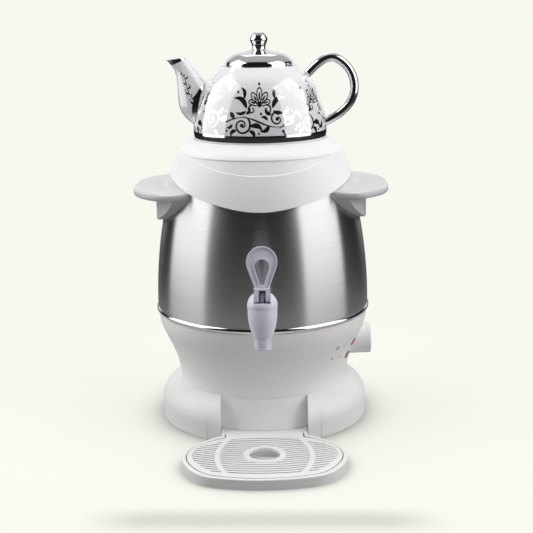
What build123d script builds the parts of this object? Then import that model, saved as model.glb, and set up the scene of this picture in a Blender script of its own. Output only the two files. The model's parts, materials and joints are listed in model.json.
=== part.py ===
from build123d import *
from math import asin, atan2, cos, degrees, dist, pi, radians, sin, sqrt
import os

# Electric tea samovar: a steel water tank on a plastic base, with a lever tap and drip tray in
# front and a porcelain teapot that stands on a lift-off collar.
# Millimetres. Z is the samovar's axis, Z = 0 the surface it stands on, -Y the tap's side.

# ---- Clearances ----
running = 0.05        # radial, for a shaft that turns or slides in its hole
seated = 0.3          # between a piece that lifts off and what it rests on
laid = 0.1            # between two pieces of one assembly that are put into each other
thread_gap = 0.1      # radial, round a screw's shank in its hole

# ---- Base housing ----
foot_stand = 1.0      # the feet stand out this far under the base's rim
base_radius = 112.6
base_height = 43.55
shoulder_radius = 25.0
base_wall = 2.5
base_opening = 60.0   # radius of the hole in the base's top
panel_step = 0.35     # depth of the smooth saddle panel inside the base's outer band
base_top = base_height - panel_step
panel_half_width = 60.0
panel_height = 37.5
panel_corner = 9.0
recess_half_width = 45.5
recess_top_radius = base_radius - 21.7
recess_foot_radius = base_radius - 13.6
recess_wall = 2.5

# ---- Bottom cover, feet and its screws ----
cover_thickness = 2.5
cover_height = 3.5    # underside of the cover
foot_radius = 8.0
foot_stem_radius = 3.0
foot_circle = base_radius - 20.6
foot_angles = (40, 140, 230, 310)
boss_radius = 5.0
boss_circle = foot_circle
boss_angles = (20, 160, 215, 325)
screw_radius = 1.6
screw_head_radius = 3.4
screw_head = 2.0
screw_length = 12.0

# ---- Cord gland and terminal block ----
gland_height = 18.0
gland_bore = 3.3
gland_wall = 2.0
gland_collar = 2.5
terminal_length = 34.0
terminal_depth = 17.0
terminal_height = 14.0

# ---- Lower housing ----
housing_foot_radius = base_radius - 21.6
housing_top_radius = base_radius + 1.4
housing_top = base_top + 76.2
housing_wall = 2.5
cable_opening = 45.0
housing_screw_circle = housing_foot_radius - 16.0
housing_screw_count = 4
post_spacing = housing_foot_radius - 29.0   # the two posts under the tie strap, from the axis
post_radius = 6.5
post_height = 12.0

# ---- Thermostat and its knob ----
knob_height = housing_top - 39.0
knob_radius = 17.0
knob_draft = 0.6      # the knob is this much slimmer at its outer end
knob_reach = housing_top_radius + 4.8   # outer end, from the axis
knob_wall = 2.2
knob_gap = 0.6        # round the knob in its pocket
hub_radius = 5.5
shaft_radius = 3.0
shaft_flat = 2.0      # from the shaft's axis to its flat
shaft_step = 1.5      # where the flat begins, over the pocket's floor
thermostat_size = 28.0
thermostat_gap = 0.05  # between its lower front corners and the housing's inner wall
thermostat_depth = 24.0
bushing_radius = 5.0

# ---- Indicator lamps ----
lamp_radius = 4.8
lamp_stand = 0.8
heating_lamp_rise = 7.2      # over the knob's axis
keep_warm_lamp_drop = 6.8    # under it
lamp_places = {   # height, and angle from the front in degrees
    "heating": (knob_height + heating_lamp_rise, 69.0),
    "keep_warm": (knob_height - keep_warm_lamp_drop, 67.2),
}
lamp_flange = 1.4
bulb_radius = 3.2
bulb_length = 12.0

# ---- Trim ring ----
trim_radius = housing_top_radius + 2.0
trim_height = 6.8

# ---- Steel tank ----
tank_wall = 0.8
tank_foot_radius = housing_top_radius + 0.8
tank_foot = housing_top + 7.2
tank_draw = 18.2      # how far the wall draws in from foot to shoulder
tank_shoulder_radius = tank_foot_radius - tank_draw
tank_shoulder = 261.5
rim_rise = 3.5        # of the rim over the shoulder
tank_rim = tank_shoulder + rim_rise
tank_mouth = tank_shoulder_radius - 10.6
joggle_depth = 2.4    # the wall steps in by this much where the trim ring wraps it
floor_thickness = 1.0
floor_height = tank_foot - 2.6

# ---- Heater under the tank ----
plate_radius = 70.0
plate_thickness = 3.0
element_radius = 50.0
element_tube = 4.0
element_arc = 300.0
element_pin_drop = 16.0
cutout_radius = 8.0
cutout_height = 8.0
bulb_probe_radius = 3.0
bulb_probe_length = 56.0
rod_radius = 3.0
strap_width = 24.0
strap_thickness = 2.5
nut_width = 10.0
nut_height = 5.0

# ---- Wing handles ----
handle_top = tank_shoulder - 4.5
handle_thickness = 8.5
handle_reach = tank_shoulder_radius + 39.0
handle_half_depth = 71.2
bracket_reach = handle_reach - 22.8
bracket_foot = handle_top - 38.0
bracket_round = 3.0
upstand_sweep = 11.0  # how far out the upstand's foot sweeps into the plate
handle_gap = 0.3
washer_thickness = 1.0
washer_gap = 0.12     # a flat washer on the inside of the curved wall
handle_screw_height = handle_top - 23.0
handle_screw_angle = 15.0

# ---- Collar ----
collar_rise = 40.4    # of the pot's seat over the tank's rim
collar_top = tank_rim + collar_rise
collar_foot_radius = tank_shoulder_radius + 7.4
collar_foot = tank_rim - 22.2
collar_waist_radius = tank_shoulder_radius + 0.4
collar_waist = tank_rim + 3.8
collar_bend_radius = tank_shoulder_radius - 8.8
collar_bend = collar_top - 13.4
collar_seat_radius = 72.5
collar_wall = 2.2
collar_side_foot = collar_waist   # the skirt's edge at the sides, over the handles
band_step = 0.8
band_front = collar_waist + 7.2
band_rise = 33.0
steam_opening = 40.0
seat_depth = 0.8

# ---- Teapot ----
pot_foot_radius = collar_seat_radius - 3.0
pot_belly_radius = pot_foot_radius + 1.1
pot_height = 76.0     # foot to shoulder
pot_wall = 3.6
pot_shoulder_radius = 45.6
pot_mouth = 30.5
foot_ring = 7.5
spout_wall = 2.6
strainer_hole = 2.1
pot_handle_radius = 4.4

# ---- Teapot lid ----
lid_radius = 36.0
lid_height = 15.4
lid_wall = 3.0
lid_spigot = 29.5
lid_crease = 20.0     # radius of the crease between the rolled edge and the dome
lid_neck = 7.0
lid_knob_radius = 9.4
lid_knob_top = 33.6
steam_hole = 1.5

# ---- Tap ----
tap_lean = 8.0        # degrees that the barrel leans back
tap_reach = tank_foot_radius + 40.2     # nozzle's mouth, in front of the axis
tap_height = tank_foot - 9.3
nozzle_radius = 8.3
nozzle_groove = 0.9   # depth of the grooves between the nozzle's rings
nozzle_length = 10.0
nozzle_bore = 5.0
barrel_radius = 14.4
barrel_height = 40.3
chamber_radius = 8.6
chamber_floor = 21.0
shank_height = 30.0
shank_radius = 7.9
shank_bore = 4.5
shank_flange = 12.0
gasket_thickness = 2.0
bonnet_radius = 14.9
bonnet_height = 16.2
plug_radius = 11.3
plug_length = 5.0
channel_floor = 45.8
stem_radius = 2.5
stem_pin_radius = 1.25
seal_radius = 7.3
seal_thickness = 3.0
spring_radius = 4.6
spring_wire = 0.8
spring_turns = 6
cam_pin_height = 52.0
cam_lift = 2.2        # stem's lift for each radian that the lever turns
cam_travel = 90.0     # degrees from closed to locked open
lever_half_width = 7.8
lever_slot = 3.3
lever_back = 5.5
lever_neck = 60.0
loop_radius = 15.2
loop_top = 100.7
loop_window = 7.0
loop_thickness = 5.0
loop_rim = 1.3
loop_groove = 1.3
window_foot = 2.6      # the window's radius at its foot

# ---- Drip tray and grille ----
tray_height = 10.5
tray_wall = 2.2
tray_floor = 1.6
tray_half_width = 81.0
tray_neck = base_radius - 1.6
tray_widest = tray_neck + 59.0
tray_front = tray_neck + 111.0
tray_tongue_half_width = 44.8
tray_tongue_end = tray_neck - 27.0
grille_border = 5.0
grille_end = recess_foot_radius + 4.0   # its rear edge, clear of the base when it is lifted
grille_thickness = 2.0
grille_rows = 18
grille_pitch = 5.1
grille_slot = 2.3
grille_row_radius = 190.0
grille_first_row = tray_front - 16.0
grille_band = 5.0
band_middle = 47.0    # how far from the middle the bands lie at their widest
band_bow = 96.0
dish_centre = tray_neck + 50.0
dish_radius = 15.5
dish_ring = 21.5
dish_lip = 0.6


# ---- Helpers ----
def turned(*edges):
    """Revolve the area inside a closed chain of edges, drawn as (radius, height), about Z."""
    return revolve(Plane.XZ * make_face(Curve() + list(edges)), Axis.Z)


def turned_polygon(*points):
    """Revolve a polygon of (radius, height) corners about Z."""
    return revolve(Plane.XZ * make_face(Polyline(*points, close=True)), Axis.Z)


def inner_line(outer, wall, steps=12):
    """The line that runs a wall's thickness inside an outer line drawn upwards."""
    points = []
    for step in range(steps + 1):
        tangent = outer % (step / steps)
        points.append(outer @ (step / steps) + Vector(-tangent.Y, tangent.X) * wall)
    return Spline(*points)


def core_under(line, low, high):
    """The solid of revolution inside a line, between two flat ends at the axis."""
    start = line @ 0
    end = line @ 1
    corners = [(end.X, end.Y), (end.X, high), (0, high), (0, low), (start.X, low), (start.X, start.Y)]
    turns = [spot for spot, last in zip(corners, [None] + corners) if last is None or dist(spot, last) > 0.001]
    return turned(line, *Polyline(*turns).edges())


def ring(outer_radius, inner_radius, low, high):
    """A flat ring between two heights."""
    return turned_polygon((inner_radius, low), (outer_radius, low), (outer_radius, high), (inner_radius, high))


def rod(radius, low, high):
    """A round bar on the Z axis between two heights."""
    return Pos(0, 0, low) * Cylinder(radius, high - low, align=(Align.CENTER, Align.CENTER, Align.MIN))


def block(x_range, y_range, z_range):
    """A box given by its limits along each axis."""
    size = [high - low for low, high in (x_range, y_range, z_range)]
    centre = [(low + high) / 2 for low, high in (x_range, y_range, z_range)]
    return Pos(*centre) * Box(*size)


def around(radius, angle):
    """A place on a circle about Z, at an angle from the +X axis."""
    return Pos(radius * cos(radians(angle)), radius * sin(radians(angle)), 0)


def at_height(line, height):
    """The parameter at which an upward line reaches a height."""
    low, high = 0.0, 1.0
    for _ in range(40):
        middle = (low + high) / 2
        if (line @ middle).Y < height:
            low = middle
        else:
            high = middle
    return low


def on_wall(line, height, angle):
    """A place on a turned wall whose Z axis is the wall's outward normal."""
    spot = at_height(line, height)
    radius = (line @ spot).X
    slope = line % spot
    tilt = degrees(atan2(-slope.X, slope.Y))
    return Rot(0, 0, angle) * Pos(radius, 0, height) * Rot(0, 90 - tilt, 0)


def tapered_loop(low, low_radius, high, high_radius):
    """The flat outline round a small and a large circle, one above the other."""
    slope = (low_radius - high_radius) / (high - low)
    side = sqrt(1 - slope**2)
    low_side = (low_radius * side, low + low_radius * slope)
    high_side = (high_radius * side, high + high_radius * slope)
    low_other = (-low_side[0], low_side[1])
    high_other = (-high_side[0], high_side[1])
    return make_face(
        Curve()
        + [
            Line(low_side, high_side),
            ThreePointArc(high_side, (0, high + high_radius), high_other),
            Line(high_other, low_other),
            ThreePointArc(low_other, (0, low - low_radius), low_side),
        ]
    )


# ---- Outer lines, each drawn upwards as (radius, height) ----
housing_line = Spline(
    (housing_foot_radius, base_top),
    (housing_foot_radius + 6.0, base_top + 27.8),
    (housing_top_radius - 7.0, housing_top - 24.9),
    (housing_top_radius, housing_top),
    tangents=((0.1, 1), (0.06, 1)),
)
housing_inner = inner_line(housing_line, housing_wall)
thermostat_half = thermostat_size / 2
wall_beside_it = (housing_inner @ at_height(housing_inner, knob_height - thermostat_half)).X
thermostat_face = sqrt(wall_beside_it**2 - thermostat_half**2) - thermostat_gap
pocket_floor = thermostat_face + knob_wall

tank_rise = tank_shoulder - tank_foot
tank_bow = (tank_rise**2 + tank_draw**2) / (2 * tank_draw)


def tank_arc(inset):
    """The tank's bowed side, moved inwards by a distance."""
    return JernArc(
        start=(tank_foot_radius - inset, tank_foot),
        tangent=(0, 1),
        radius=tank_bow - inset,
        arc_size=degrees(asin(tank_rise / tank_bow)),
    )


tank_line = tank_arc(0)
tank_inner = tank_arc(tank_wall)
joggle_radius = tank_foot_radius - joggle_depth
wall_foot = housing_top + seated

collar_side = ThreePointArc(
    (collar_foot_radius, collar_foot),
    (collar_waist_radius, collar_waist),
    (collar_bend_radius, collar_bend),
)
collar_bevel = Spline(
    collar_side @ 1,
    (collar_bend_radius - 4.4, collar_bend + 5.4),
    (collar_seat_radius, collar_top),
    tangents=(collar_side % 1, (-1.25, 1)),
)


# ---- Base housing ----
def base_outline(inset):
    """The base's outer line, moved inwards by a distance."""
    radius = base_radius - inset
    height = base_height - inset
    bend = shoulder_radius - inset
    return [
        Line((radius, foot_stand), (radius, height - bend)),
        ThreePointArc(
            (radius, height - bend),
            (radius - bend + bend * cos(pi / 4), height - bend + bend * sin(pi / 4)),
            (radius - bend, height),
        ),
    ]


def base_solid(inset):
    """The base filled up to its outer line."""
    lines = base_outline(inset)
    top = lines[1] @ 1
    edges = lines + list(
        Polyline((top.X, top.Y), (0, top.Y), (0, foot_stand), (base_radius - inset, foot_stand)).edges()
    )
    return turned(*edges)


def recess_core(offset):
    """The cone that forms the back wall of the front recess."""
    return turned_polygon(
        (0, -1),
        (recess_foot_radius + 3 + offset, -1),
        (recess_foot_radius + offset, tray_height),
        (recess_top_radius + offset, base_top),
        (recess_top_radius + offset, base_height + 5),
        (0, base_height + 5),
    )


def front_recess():
    """What is cut out of the base's front for the drip tray."""
    reach = base_radius + 10
    recess = block((-recess_half_width, recess_half_width), (-reach, -40), (-1, base_height + 1))
    return recess - recess_core(0)


def saddle_panel():
    """The region of the smooth panel: the shoulder's top and the two fronts beside the recess."""
    span = base_radius + 10
    front = Polyline(
        (-span, panel_height),
        (-panel_half_width, panel_height),
        (-panel_half_width, -1),
        (panel_half_width, -1),
        (panel_half_width, panel_height),
        (span, panel_height),
        (span, base_height + 5),
        (-span, base_height + 5),
        close=True,
    )
    face = make_face(front)
    corners = [v for v in face.vertices() if abs(abs(v.X) - panel_half_width) < 0.01 and v.Y > 0]
    face = fillet(corners, panel_corner)
    region = extrude(Plane.XZ * face, span, both=True)
    return region - block((-span, span), (0, span), (-2, panel_height))


def base_housing():
    """The foot of the samovar: wall, rounded shoulder, front recess and screw bosses."""
    outer = base_solid(0) - front_recess()
    outer -= saddle_panel() & (outer - base_solid(panel_step))
    guard = block((-span_recess, span_recess), (-base_radius, -40), (-1, base_height + 1))
    guard -= recess_core(-recess_wall)
    guard += block(
        (-span_recess, span_recess),
        (-base_radius, -pocket_end + recess_wall),
        (-1, tray_height + seated + recess_wall),
    )
    body = outer - (base_solid(base_wall) - guard)
    body -= block(
        (-recess_half_width, recess_half_width), (-base_radius, -pocket_end), (-1, tray_height + seated)
    )
    body -= rod(base_opening, base_top - 2 * base_wall, base_height + 1)
    for angle in boss_angles:
        post = around(boss_circle, angle) * rod(boss_radius, cover_height + cover_thickness, base_height)
        body += post & base_solid(base_wall / 2)
    for angle in boss_angles:
        pilot = around(boss_circle, angle) * rod(
            screw_radius + thread_gap, 0, cover_height + screw_length + 2
        )
        body -= pilot
    for index in range(housing_screw_count):
        body -= around(housing_screw_circle, housing_screw_angle(index)) * rod(
            screw_radius + thread_gap, base_top - 2 * base_wall, base_height + 1
        )
    gland_hole = Pos(0, base_radius, gland_height) * Rot(90, 0, 0) * Cylinder(gland_neck, 20)
    return body - gland_hole


span_recess = recess_half_width + recess_wall
pocket_end = tray_tongue_end - 6
gland_neck = gland_bore + gland_wall + laid


def housing_screw_angle(index):
    """The angle of one of the screws that hold the lower housing on the base."""
    return 45 + index * 360 / housing_screw_count


def base_cover():
    """The bottom cover: a disc with a way through for the drip tray's tongue."""
    radius = base_radius - base_wall - seated
    cover = rod(radius, cover_height, cover_height + cover_thickness)
    cover -= block(
        (-span_recess - laid, span_recess + laid),
        (-base_radius, -pocket_end + recess_wall + laid),
        (0, cover_height + cover_thickness + 1),
    )
    for angle in boss_angles:
        place = around(boss_circle, angle)
        cover -= place * rod(screw_radius + thread_gap, 0, base_height)
        cover -= place * rod(screw_head_radius + thread_gap, 0, cover_height + 1.2)
    for angle in foot_angles:
        cover -= around(foot_circle, angle) * rod(foot_stem_radius + laid, 0, base_height)
    return cover


def group(solids):
    """Several separate solids in one node."""
    return Compound(children=list(solids))


def pan_screw(length):
    """A pan-head screw standing on its head, with the shank upwards from Z = 0."""
    head = rod(screw_head_radius, -screw_head, 0)
    head = fillet(head.edges().group_by(Axis.Z)[0], screw_head * 0.45)
    return head + rod(screw_radius, 0, length)


def base_screws():
    """The screws that hold the bottom cover."""
    places = [around(boss_circle, angle) * Pos(0, 0, cover_height + 1.2) for angle in boss_angles]
    return group(place * pan_screw(screw_length) for place in places)


def rubber_feet():
    """Four rubber feet, each with a stem and a barb that holds it in the cover."""
    top = cover_height + cover_thickness
    feet = []
    for angle in foot_angles:
        pad = rod(foot_radius, 0, cover_height)
        pad = chamfer(pad.edges().group_by(Axis.Z)[0], 0.6)
        stem = rod(foot_stem_radius, cover_height, top)
        barb = Pos(0, 0, top) * Cone(
            foot_stem_radius + 1.2, foot_stem_radius - 1, 4, align=(Align.CENTER, Align.CENTER, Align.MIN)
        )
        feet.append(around(foot_circle, angle) * (pad + stem + barb))
    return group(feet)


def cord_gland():
    """The rubber gland in the back wall where a mains cord goes in."""
    neck = gland_bore + gland_wall
    inside = base_radius - base_wall
    outline = Polyline(
        (gland_bore, inside - 6),
        (neck + 1.5, inside - 6),
        (neck + 1.5, inside - 1.2),
        (neck, inside - 1.2),
        (neck, base_radius + 0.4),
        (neck + 2, base_radius + 0.4),
        (neck + 1, base_radius + gland_collar + 2),
        (gland_bore, base_radius + gland_collar + 2),
        close=True,
    )
    body = revolve(Plane.XZ * make_face(outline), Axis.Z)
    return Pos(0, 0, gland_height) * Rot(-90, 0, 0) * body


def terminal_block():
    """The block on the bottom cover where the mains leads are clamped."""
    low = cover_height + cover_thickness
    body = block(
        (-terminal_length / 2, terminal_length / 2),
        (base_opening - terminal_depth, base_opening),
        (low, low + terminal_height),
    )
    body = chamfer(body.edges().filter_by(Axis.X).group_by(Axis.Z)[-1], 3)
    for index in (-1, 0, 1):
        port = Pos(index * terminal_length / 3.2, base_opening - terminal_depth / 2, low + 6)
        body -= port * Rot(90, 0, 0) * Cylinder(2.2, terminal_depth + 2)
        body -= port * rod(1.8, 0, terminal_height)
    return body


# ---- Lower housing ----
housing_floor = base_top + housing_wall


def knob_axis():
    """The place on the knob's axis at the pocket's floor, with Z pointing outwards."""
    return Pos(pocket_floor, 0, knob_height) * Rot(0, 90, 0)


def lower_housing():
    """The bowl between base and tank, with the knob's pocket, lamp holes and strap posts."""
    cavity = core_under(housing_inner, base_top, housing_top + 5)
    cavity &= rod(housing_top_radius + 5, housing_floor, housing_top + 6)
    solid = core_under(housing_line, base_top, housing_top)
    body = solid - cavity
    pocket_radius = knob_radius + knob_gap
    cup = knob_axis() * Pos(0, 0, -knob_wall) * Cylinder(
        pocket_radius + knob_wall, 40, align=(Align.CENTER, Align.CENTER, Align.MIN)
    )
    body += cup & solid
    body -= knob_axis() * Cylinder(pocket_radius, 40, align=(Align.CENTER, Align.CENTER, Align.MIN))
    body -= knob_axis() * Cylinder(bushing_radius + laid, 20)
    body -= rod(cable_opening, base_top - 1, housing_floor + 1)
    for height, angle in lamp_places.values():
        body -= on_wall(housing_line, height, angle - 90) * Cylinder(lamp_radius + laid, 12)
    for side in (-1, 1):
        post = Pos(0, side * post_spacing) * rod(post_radius, housing_floor - 1, housing_floor + post_height)
        body += post
        body -= Pos(0, side * post_spacing) * rod(
            screw_radius + thread_gap, housing_floor + 2, housing_floor + post_height + 1
        )
    for index in range(housing_screw_count):
        place = around(housing_screw_circle, housing_screw_angle(index))
        body += place * rod(boss_radius, housing_floor - 1, housing_floor + 8)
        body -= place * rod(screw_radius + thread_gap, base_top - 1, housing_floor + 6)
    return body


def housing_screws():
    """The screws that hold the lower housing, put in from inside the base."""
    seat = base_height - base_wall
    places = [
        around(housing_screw_circle, housing_screw_angle(index)) * Pos(0, 0, seat)
        for index in range(housing_screw_count)
    ]
    return group(place * pan_screw(base_wall + housing_wall + 5) for place in places)


def lamp_lens(height, angle):
    """A red lens, seated in the housing's wall with a flange behind it."""
    depth = housing_wall + lamp_flange + 0.6
    lens = rod(lamp_radius, -depth, lamp_stand)
    lens = fillet(lens.edges().group_by(Axis.Z)[-1], lamp_stand * 0.9)
    lens += rod(lamp_radius + 1.2, -depth, -housing_wall - 0.6)
    lens -= rod(bulb_radius + laid, -depth - 1, -1.2)
    return on_wall(housing_line, height, angle - 90) * lens


def lamp_bulbs():
    """The two neon bulbs behind the lenses."""
    bulbs = []
    for height, angle in lamp_places.values():
        bulb = rod(bulb_radius, -1.6 - bulb_length, -1.6)
        bulb = fillet(bulb.edges().group_by(Axis.Z)[-1], 1.5)
        bulbs.append(on_wall(housing_line, height, angle - 90) * bulb)
    return group(bulbs)


def thermostat():
    """The thermostat's metal body, clamped behind the knob's pocket by its bushing."""
    face = -knob_wall
    side = (-thermostat_half, thermostat_half)
    body = block(side, side, (face - thermostat_depth, face))
    body = fillet(body.edges().filter_by(Axis.Z), 3)
    body += rod(bushing_radius, face, 0)
    body -= rod(shaft_radius + running, face - thermostat_depth / 2, 1)
    for spot in (-8, 8):
        tab = block((spot - 3, spot + 3), (-0.4, 0.4), (face - thermostat_depth - 8, face - thermostat_depth))
        body += tab
    return knob_axis() * body


def thermostat_shaft():
    """The shaft with a flat that carries the knob."""
    low = -knob_wall - thermostat_depth / 2 + 1
    high = knob_reach - pocket_floor - knob_wall - 1
    shaft = rod(shaft_radius, low, high)
    shaft -= block((shaft_flat, shaft_radius + 1), (-5, 5), (shaft_step, high + 1))
    return knob_axis() * shaft


def thermostat_knob():
    """The hollow knob: a drafted cap with a hub, ribs and a pointer on its rim."""
    back = seated + 0.1
    end = knob_reach - pocket_floor
    outer = turned_polygon((0, back), (knob_radius, back), (knob_radius - knob_draft, end), (0, end))
    outer = fillet(outer.edges().group_by(Axis.Z)[-1], 1.6)
    knob = outer - turned_polygon(
        (0, back - 1),
        (knob_radius - knob_wall, back - 1),
        (knob_radius - knob_wall - knob_draft, end - knob_wall),
        (0, end - knob_wall),
    )
    knob += rod(hub_radius, back + 1, end - knob_wall)
    for turn in range(4):
        rib = block((hub_radius - 1, knob_radius - knob_wall), (-0.7, 0.7), (back + 4, end - knob_wall + 0.5))
        knob += Rot(0, 0, 45 + turn * 90) * rib
    bore = rod(shaft_radius + running, back, knob_reach - pocket_floor - knob_wall - 1 + laid)
    bore -= block((shaft_flat + running, shaft_radius + 1), (-5, 5), (shaft_step + laid, end))
    knob -= bore
    knob -= block((-knob_radius + 1.5, -hub_radius), (-0.8, 0.8), (end - 0.6, end + 1))
    return knob_axis() * knob


# ---- Trim ring and tank ----
def trim_ring():
    """The polished bead round the seam, wrapped round the wall's joggle."""
    low = housing_top
    high = housing_top + trim_height
    inner = joggle_radius + laid
    return turned(
        *Polyline((trim_radius - 2.4, low), (inner, low), (inner, high), (trim_radius - 2.4, high)).edges(),
        ThreePointArc((trim_radius - 2.4, high), (trim_radius, (low + high) / 2), (trim_radius - 2.4, low)),
    )


def tank_shell():
    """The brushed wall: bowed side, inward shoulder and rim, and the joggle at its foot."""
    shoulder_out = tank_line @ 1
    shoulder_in = tank_inner @ 1
    top = Polyline(
        (shoulder_out.X, shoulder_out.Y),
        (shoulder_out.X - 3.5, tank_rim),
        (tank_mouth, tank_rim),
        (tank_mouth, tank_rim - tank_wall),
        (shoulder_in.X - 3.2, tank_rim - tank_wall),
        (shoulder_in.X, shoulder_in.Y),
    )
    foot = Polyline(
        (tank_foot_radius - tank_wall, tank_foot),
        (joggle_radius - tank_wall, tank_foot - 0.2),
        (joggle_radius - tank_wall, wall_foot),
        (joggle_radius, wall_foot),
        (joggle_radius, tank_foot - tank_wall + 0.4),
        (tank_foot_radius, tank_foot - tank_wall + 0.4),
        (tank_foot_radius, tank_foot),
    )
    return turned(tank_line, *top.edges(), tank_inner, *foot.edges())


def tank():
    """The tank's wall with its holes for the tap and the handle screws."""
    holes = [place * Cylinder(screw_radius + thread_gap, 12) for place in handle_screw_places()]
    holes.append(tap_shank_bar(shank_radius + laid, -tap_reach, -40))
    return tank_shell() - holes


def tank_floor():
    """The pressed floor pan, with its rim turned down inside the wall."""
    outer = joggle_radius - tank_wall - laid / 2
    pan = rod(outer, wall_foot, floor_height + floor_thickness)
    pan = fillet(pan.edges().group_by(Axis.Z)[-1], 3)
    hollow = rod(outer - floor_thickness, wall_foot - 1, floor_height)
    hollow = fillet(hollow.edges().group_by(Axis.Z)[-1], 2)
    return pan - hollow


# ---- Heater ----
def heat_plate():
    """The aluminium plate that spreads the element's heat under the floor."""
    plate = rod(plate_radius, floor_height - plate_thickness, floor_height)
    return chamfer(plate.edges().group_by(Axis.Z)[0], 1)


def heating_element():
    """The tubular element: an open ring under the plate, with its ends turned down."""
    centre = floor_height - plate_thickness - element_tube
    start = 90 + (360 - element_arc) / 2
    bend = element_tube * 1.6
    path = CenterArc((0, 0, 0), element_radius, start, element_arc)
    tube = Pos(0, 0, centre) * sweep(
        Plane(origin=path @ 0, z_dir=path % 0) * Circle(element_tube), path=path
    )
    for end in (0, 1):
        spot = path @ end
        pin = Pos(spot.X, spot.Y) * rod(element_tube, centre - element_pin_drop, centre)
        tip = Pos(spot.X, spot.Y) * rod(1.5, centre - element_pin_drop - 8, centre)
        knuckle = Pos(spot.X, spot.Y, centre) * Sphere(element_tube)
        tube += pin + tip + knuckle
    return tube


def thermal_cutout():
    """The bimetal disc switch pressed against the heat plate."""
    top = floor_height - plate_thickness
    can = rod(cutout_radius, top - cutout_height, top)
    can = fillet(can.edges().group_by(Axis.Z)[0], 1)
    for side in (-1, 1):
        can += Pos(side * 4, 0) * block((-0.4, 0.4), (-3, 3), (top - cutout_height - 8, top - cutout_height + 1))
    can += block((-cutout_radius - 6, cutout_radius + 6), (-4, 4), (top - 1.2, top))
    return Pos(0, 26) * can


def sensor_bulb():
    """The thermostat's liquid bulb, held under the plate by a spring clip."""
    top = floor_height - plate_thickness
    bulb = Pos(0, 0, top - bulb_probe_radius - laid) * Rot(0, 90, 0) * Cylinder(bulb_probe_radius, bulb_probe_length)
    return Pos(0, -26) * bulb


def sensor_clip():
    """The clip that presses the bulb to the heat plate."""
    top = floor_height - plate_thickness
    reach = bulb_probe_radius + laid
    clip = block((-9, 9), (-reach - 1, reach + 1), (top - 2 * reach - 1, top))
    clip -= block((-10, 10), (-reach, reach), (top - 2 * reach, top + 1))
    for side in (-1, 1):
        foot = block((-9, 9), sorted((side * (reach + 0.5), side * (reach + 8))), (top - 1, top))
        clip += foot
    return Pos(0, -26) * clip


strap_low = housing_floor + post_height
rod_foot = strap_low - nut_height - 3


def tie_rod():
    """The stud that hangs from the heat plate and pulls the tank on to the housing."""
    top = floor_height - plate_thickness
    return rod(rod_radius, rod_foot, top) + rod(rod_radius + 4, top - 2, top)


def tie_strap():
    """The steel strap that bridges the two posts."""
    reach = post_spacing + post_radius
    strap = block(
        (-strap_width / 2, strap_width / 2), (-reach, reach), (strap_low, strap_low + strap_thickness)
    )
    strap = fillet(strap.edges().filter_by(Axis.Z), 5)
    strap -= rod(rod_radius + laid, strap_low - 1, strap_low + strap_thickness + 1)
    for side in (-1, 1):
        strap -= Pos(0, side * post_spacing) * rod(screw_radius + thread_gap, 0, strap_low + 9)
        lip = sorted((side * (strap_width / 2 - strap_thickness), side * strap_width / 2))
        strap += block(lip, (-post_spacing + 12, post_spacing - 12), (strap_low, strap_low + 7))
    return strap


def strap_screws():
    """The two screws that keep the strap on its posts."""
    turned_over = Rot(180, 0, 0) * pan_screw(post_height - 3)
    top = strap_low + strap_thickness
    return group(Pos(0, side * post_spacing, top) * turned_over for side in (-1, 1))


def tie_nut():
    """The nut under the strap."""
    nut = extrude(Pos(0, 0, strap_low - nut_height) * RegularPolygon(nut_width / 2, 6, major_radius=False), nut_height)
    return nut - rod(rod_radius + thread_gap, 0, strap_low + 1)


# ---- Wing handles ----
def handle_plan():
    """The crescent's outline seen from above, on the +X side."""
    rear = handle_half_depth
    half = Spline(
        (handle_reach, 0),
        (handle_reach - 6.5, rear * 0.6),
        (handle_reach - 34, rear),
        (collar_waist_radius * 0.72, rear * 0.94),
        tangents=((0, 1), (-1, -0.25)),
    )
    other = half.mirror(Plane.XZ)
    end = half @ 1
    back = Polyline((end.X, end.Y), (60, end.Y), (60, -end.Y), (end.X, -end.Y))
    return make_face(Curve() + [half, other] + list(back.edges()))


def arch_region():
    """What lies above the handle's arched underside, seen from the side."""
    rear = handle_half_depth
    half = Spline(
        (0, bracket_foot),
        (rear * 0.54, bracket_foot + 8.0),
        (rear * 0.80, bracket_foot + 17.5),
        (rear * 0.92, bracket_foot + 26.0),
        (rear * 0.97, handle_top - 1),
        tangents=((1, 0), (0.05, 1)),
    )
    other = half.mirror(Plane.YZ)
    end = half @ 1
    over = Polyline(
        (end.X, end.Y),
        (rear + 5, end.Y),
        (rear + 5, collar_top),
        (-rear - 5, collar_top),
        (-rear - 5, end.Y),
        (-end.X, end.Y),
    )
    face = make_face(Curve() + [half, other] + list(over.edges()))
    return extrude(Plane.YZ * face, handle_reach + 5, both=True)


def handle_root():
    """The bracket under the plate and the upstand above it, as one turned ring."""
    waist = collar_side @ at_height(collar_side, collar_side_foot)
    foot = Polyline(
        (waist.X, waist.Y),
        (tank_shoulder_radius - 2.5, waist.Y),
        (tank_shoulder_radius - 2.5, bracket_foot - 2),
        (bracket_reach - bracket_round, bracket_foot - 2),
    )
    return turned(
        *foot.edges(),
        Line((bracket_reach - bracket_round, bracket_foot - 2), (bracket_reach, bracket_foot + bracket_round)),
        Line((bracket_reach, bracket_foot + bracket_round), (bracket_reach, handle_top)),
        Line((bracket_reach, handle_top), (waist.X + upstand_sweep, handle_top)),
        Spline(
            (waist.X + upstand_sweep, handle_top),
            (waist.X + 2.2, waist.Y - 5.0),
            (waist.X, waist.Y),
            tangents=((-1, 0), (-0.2, 1)),
        ),
    )


def handle_screw_places(sides=(0, 180)):
    """Where the handle screws pass through the wall, with Z pointing outwards."""
    places = []
    for side in sides:
        for turn in (-handle_screw_angle, handle_screw_angle):
            places.append(on_wall(tank_line, handle_screw_height, side + turn))
    return places


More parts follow.
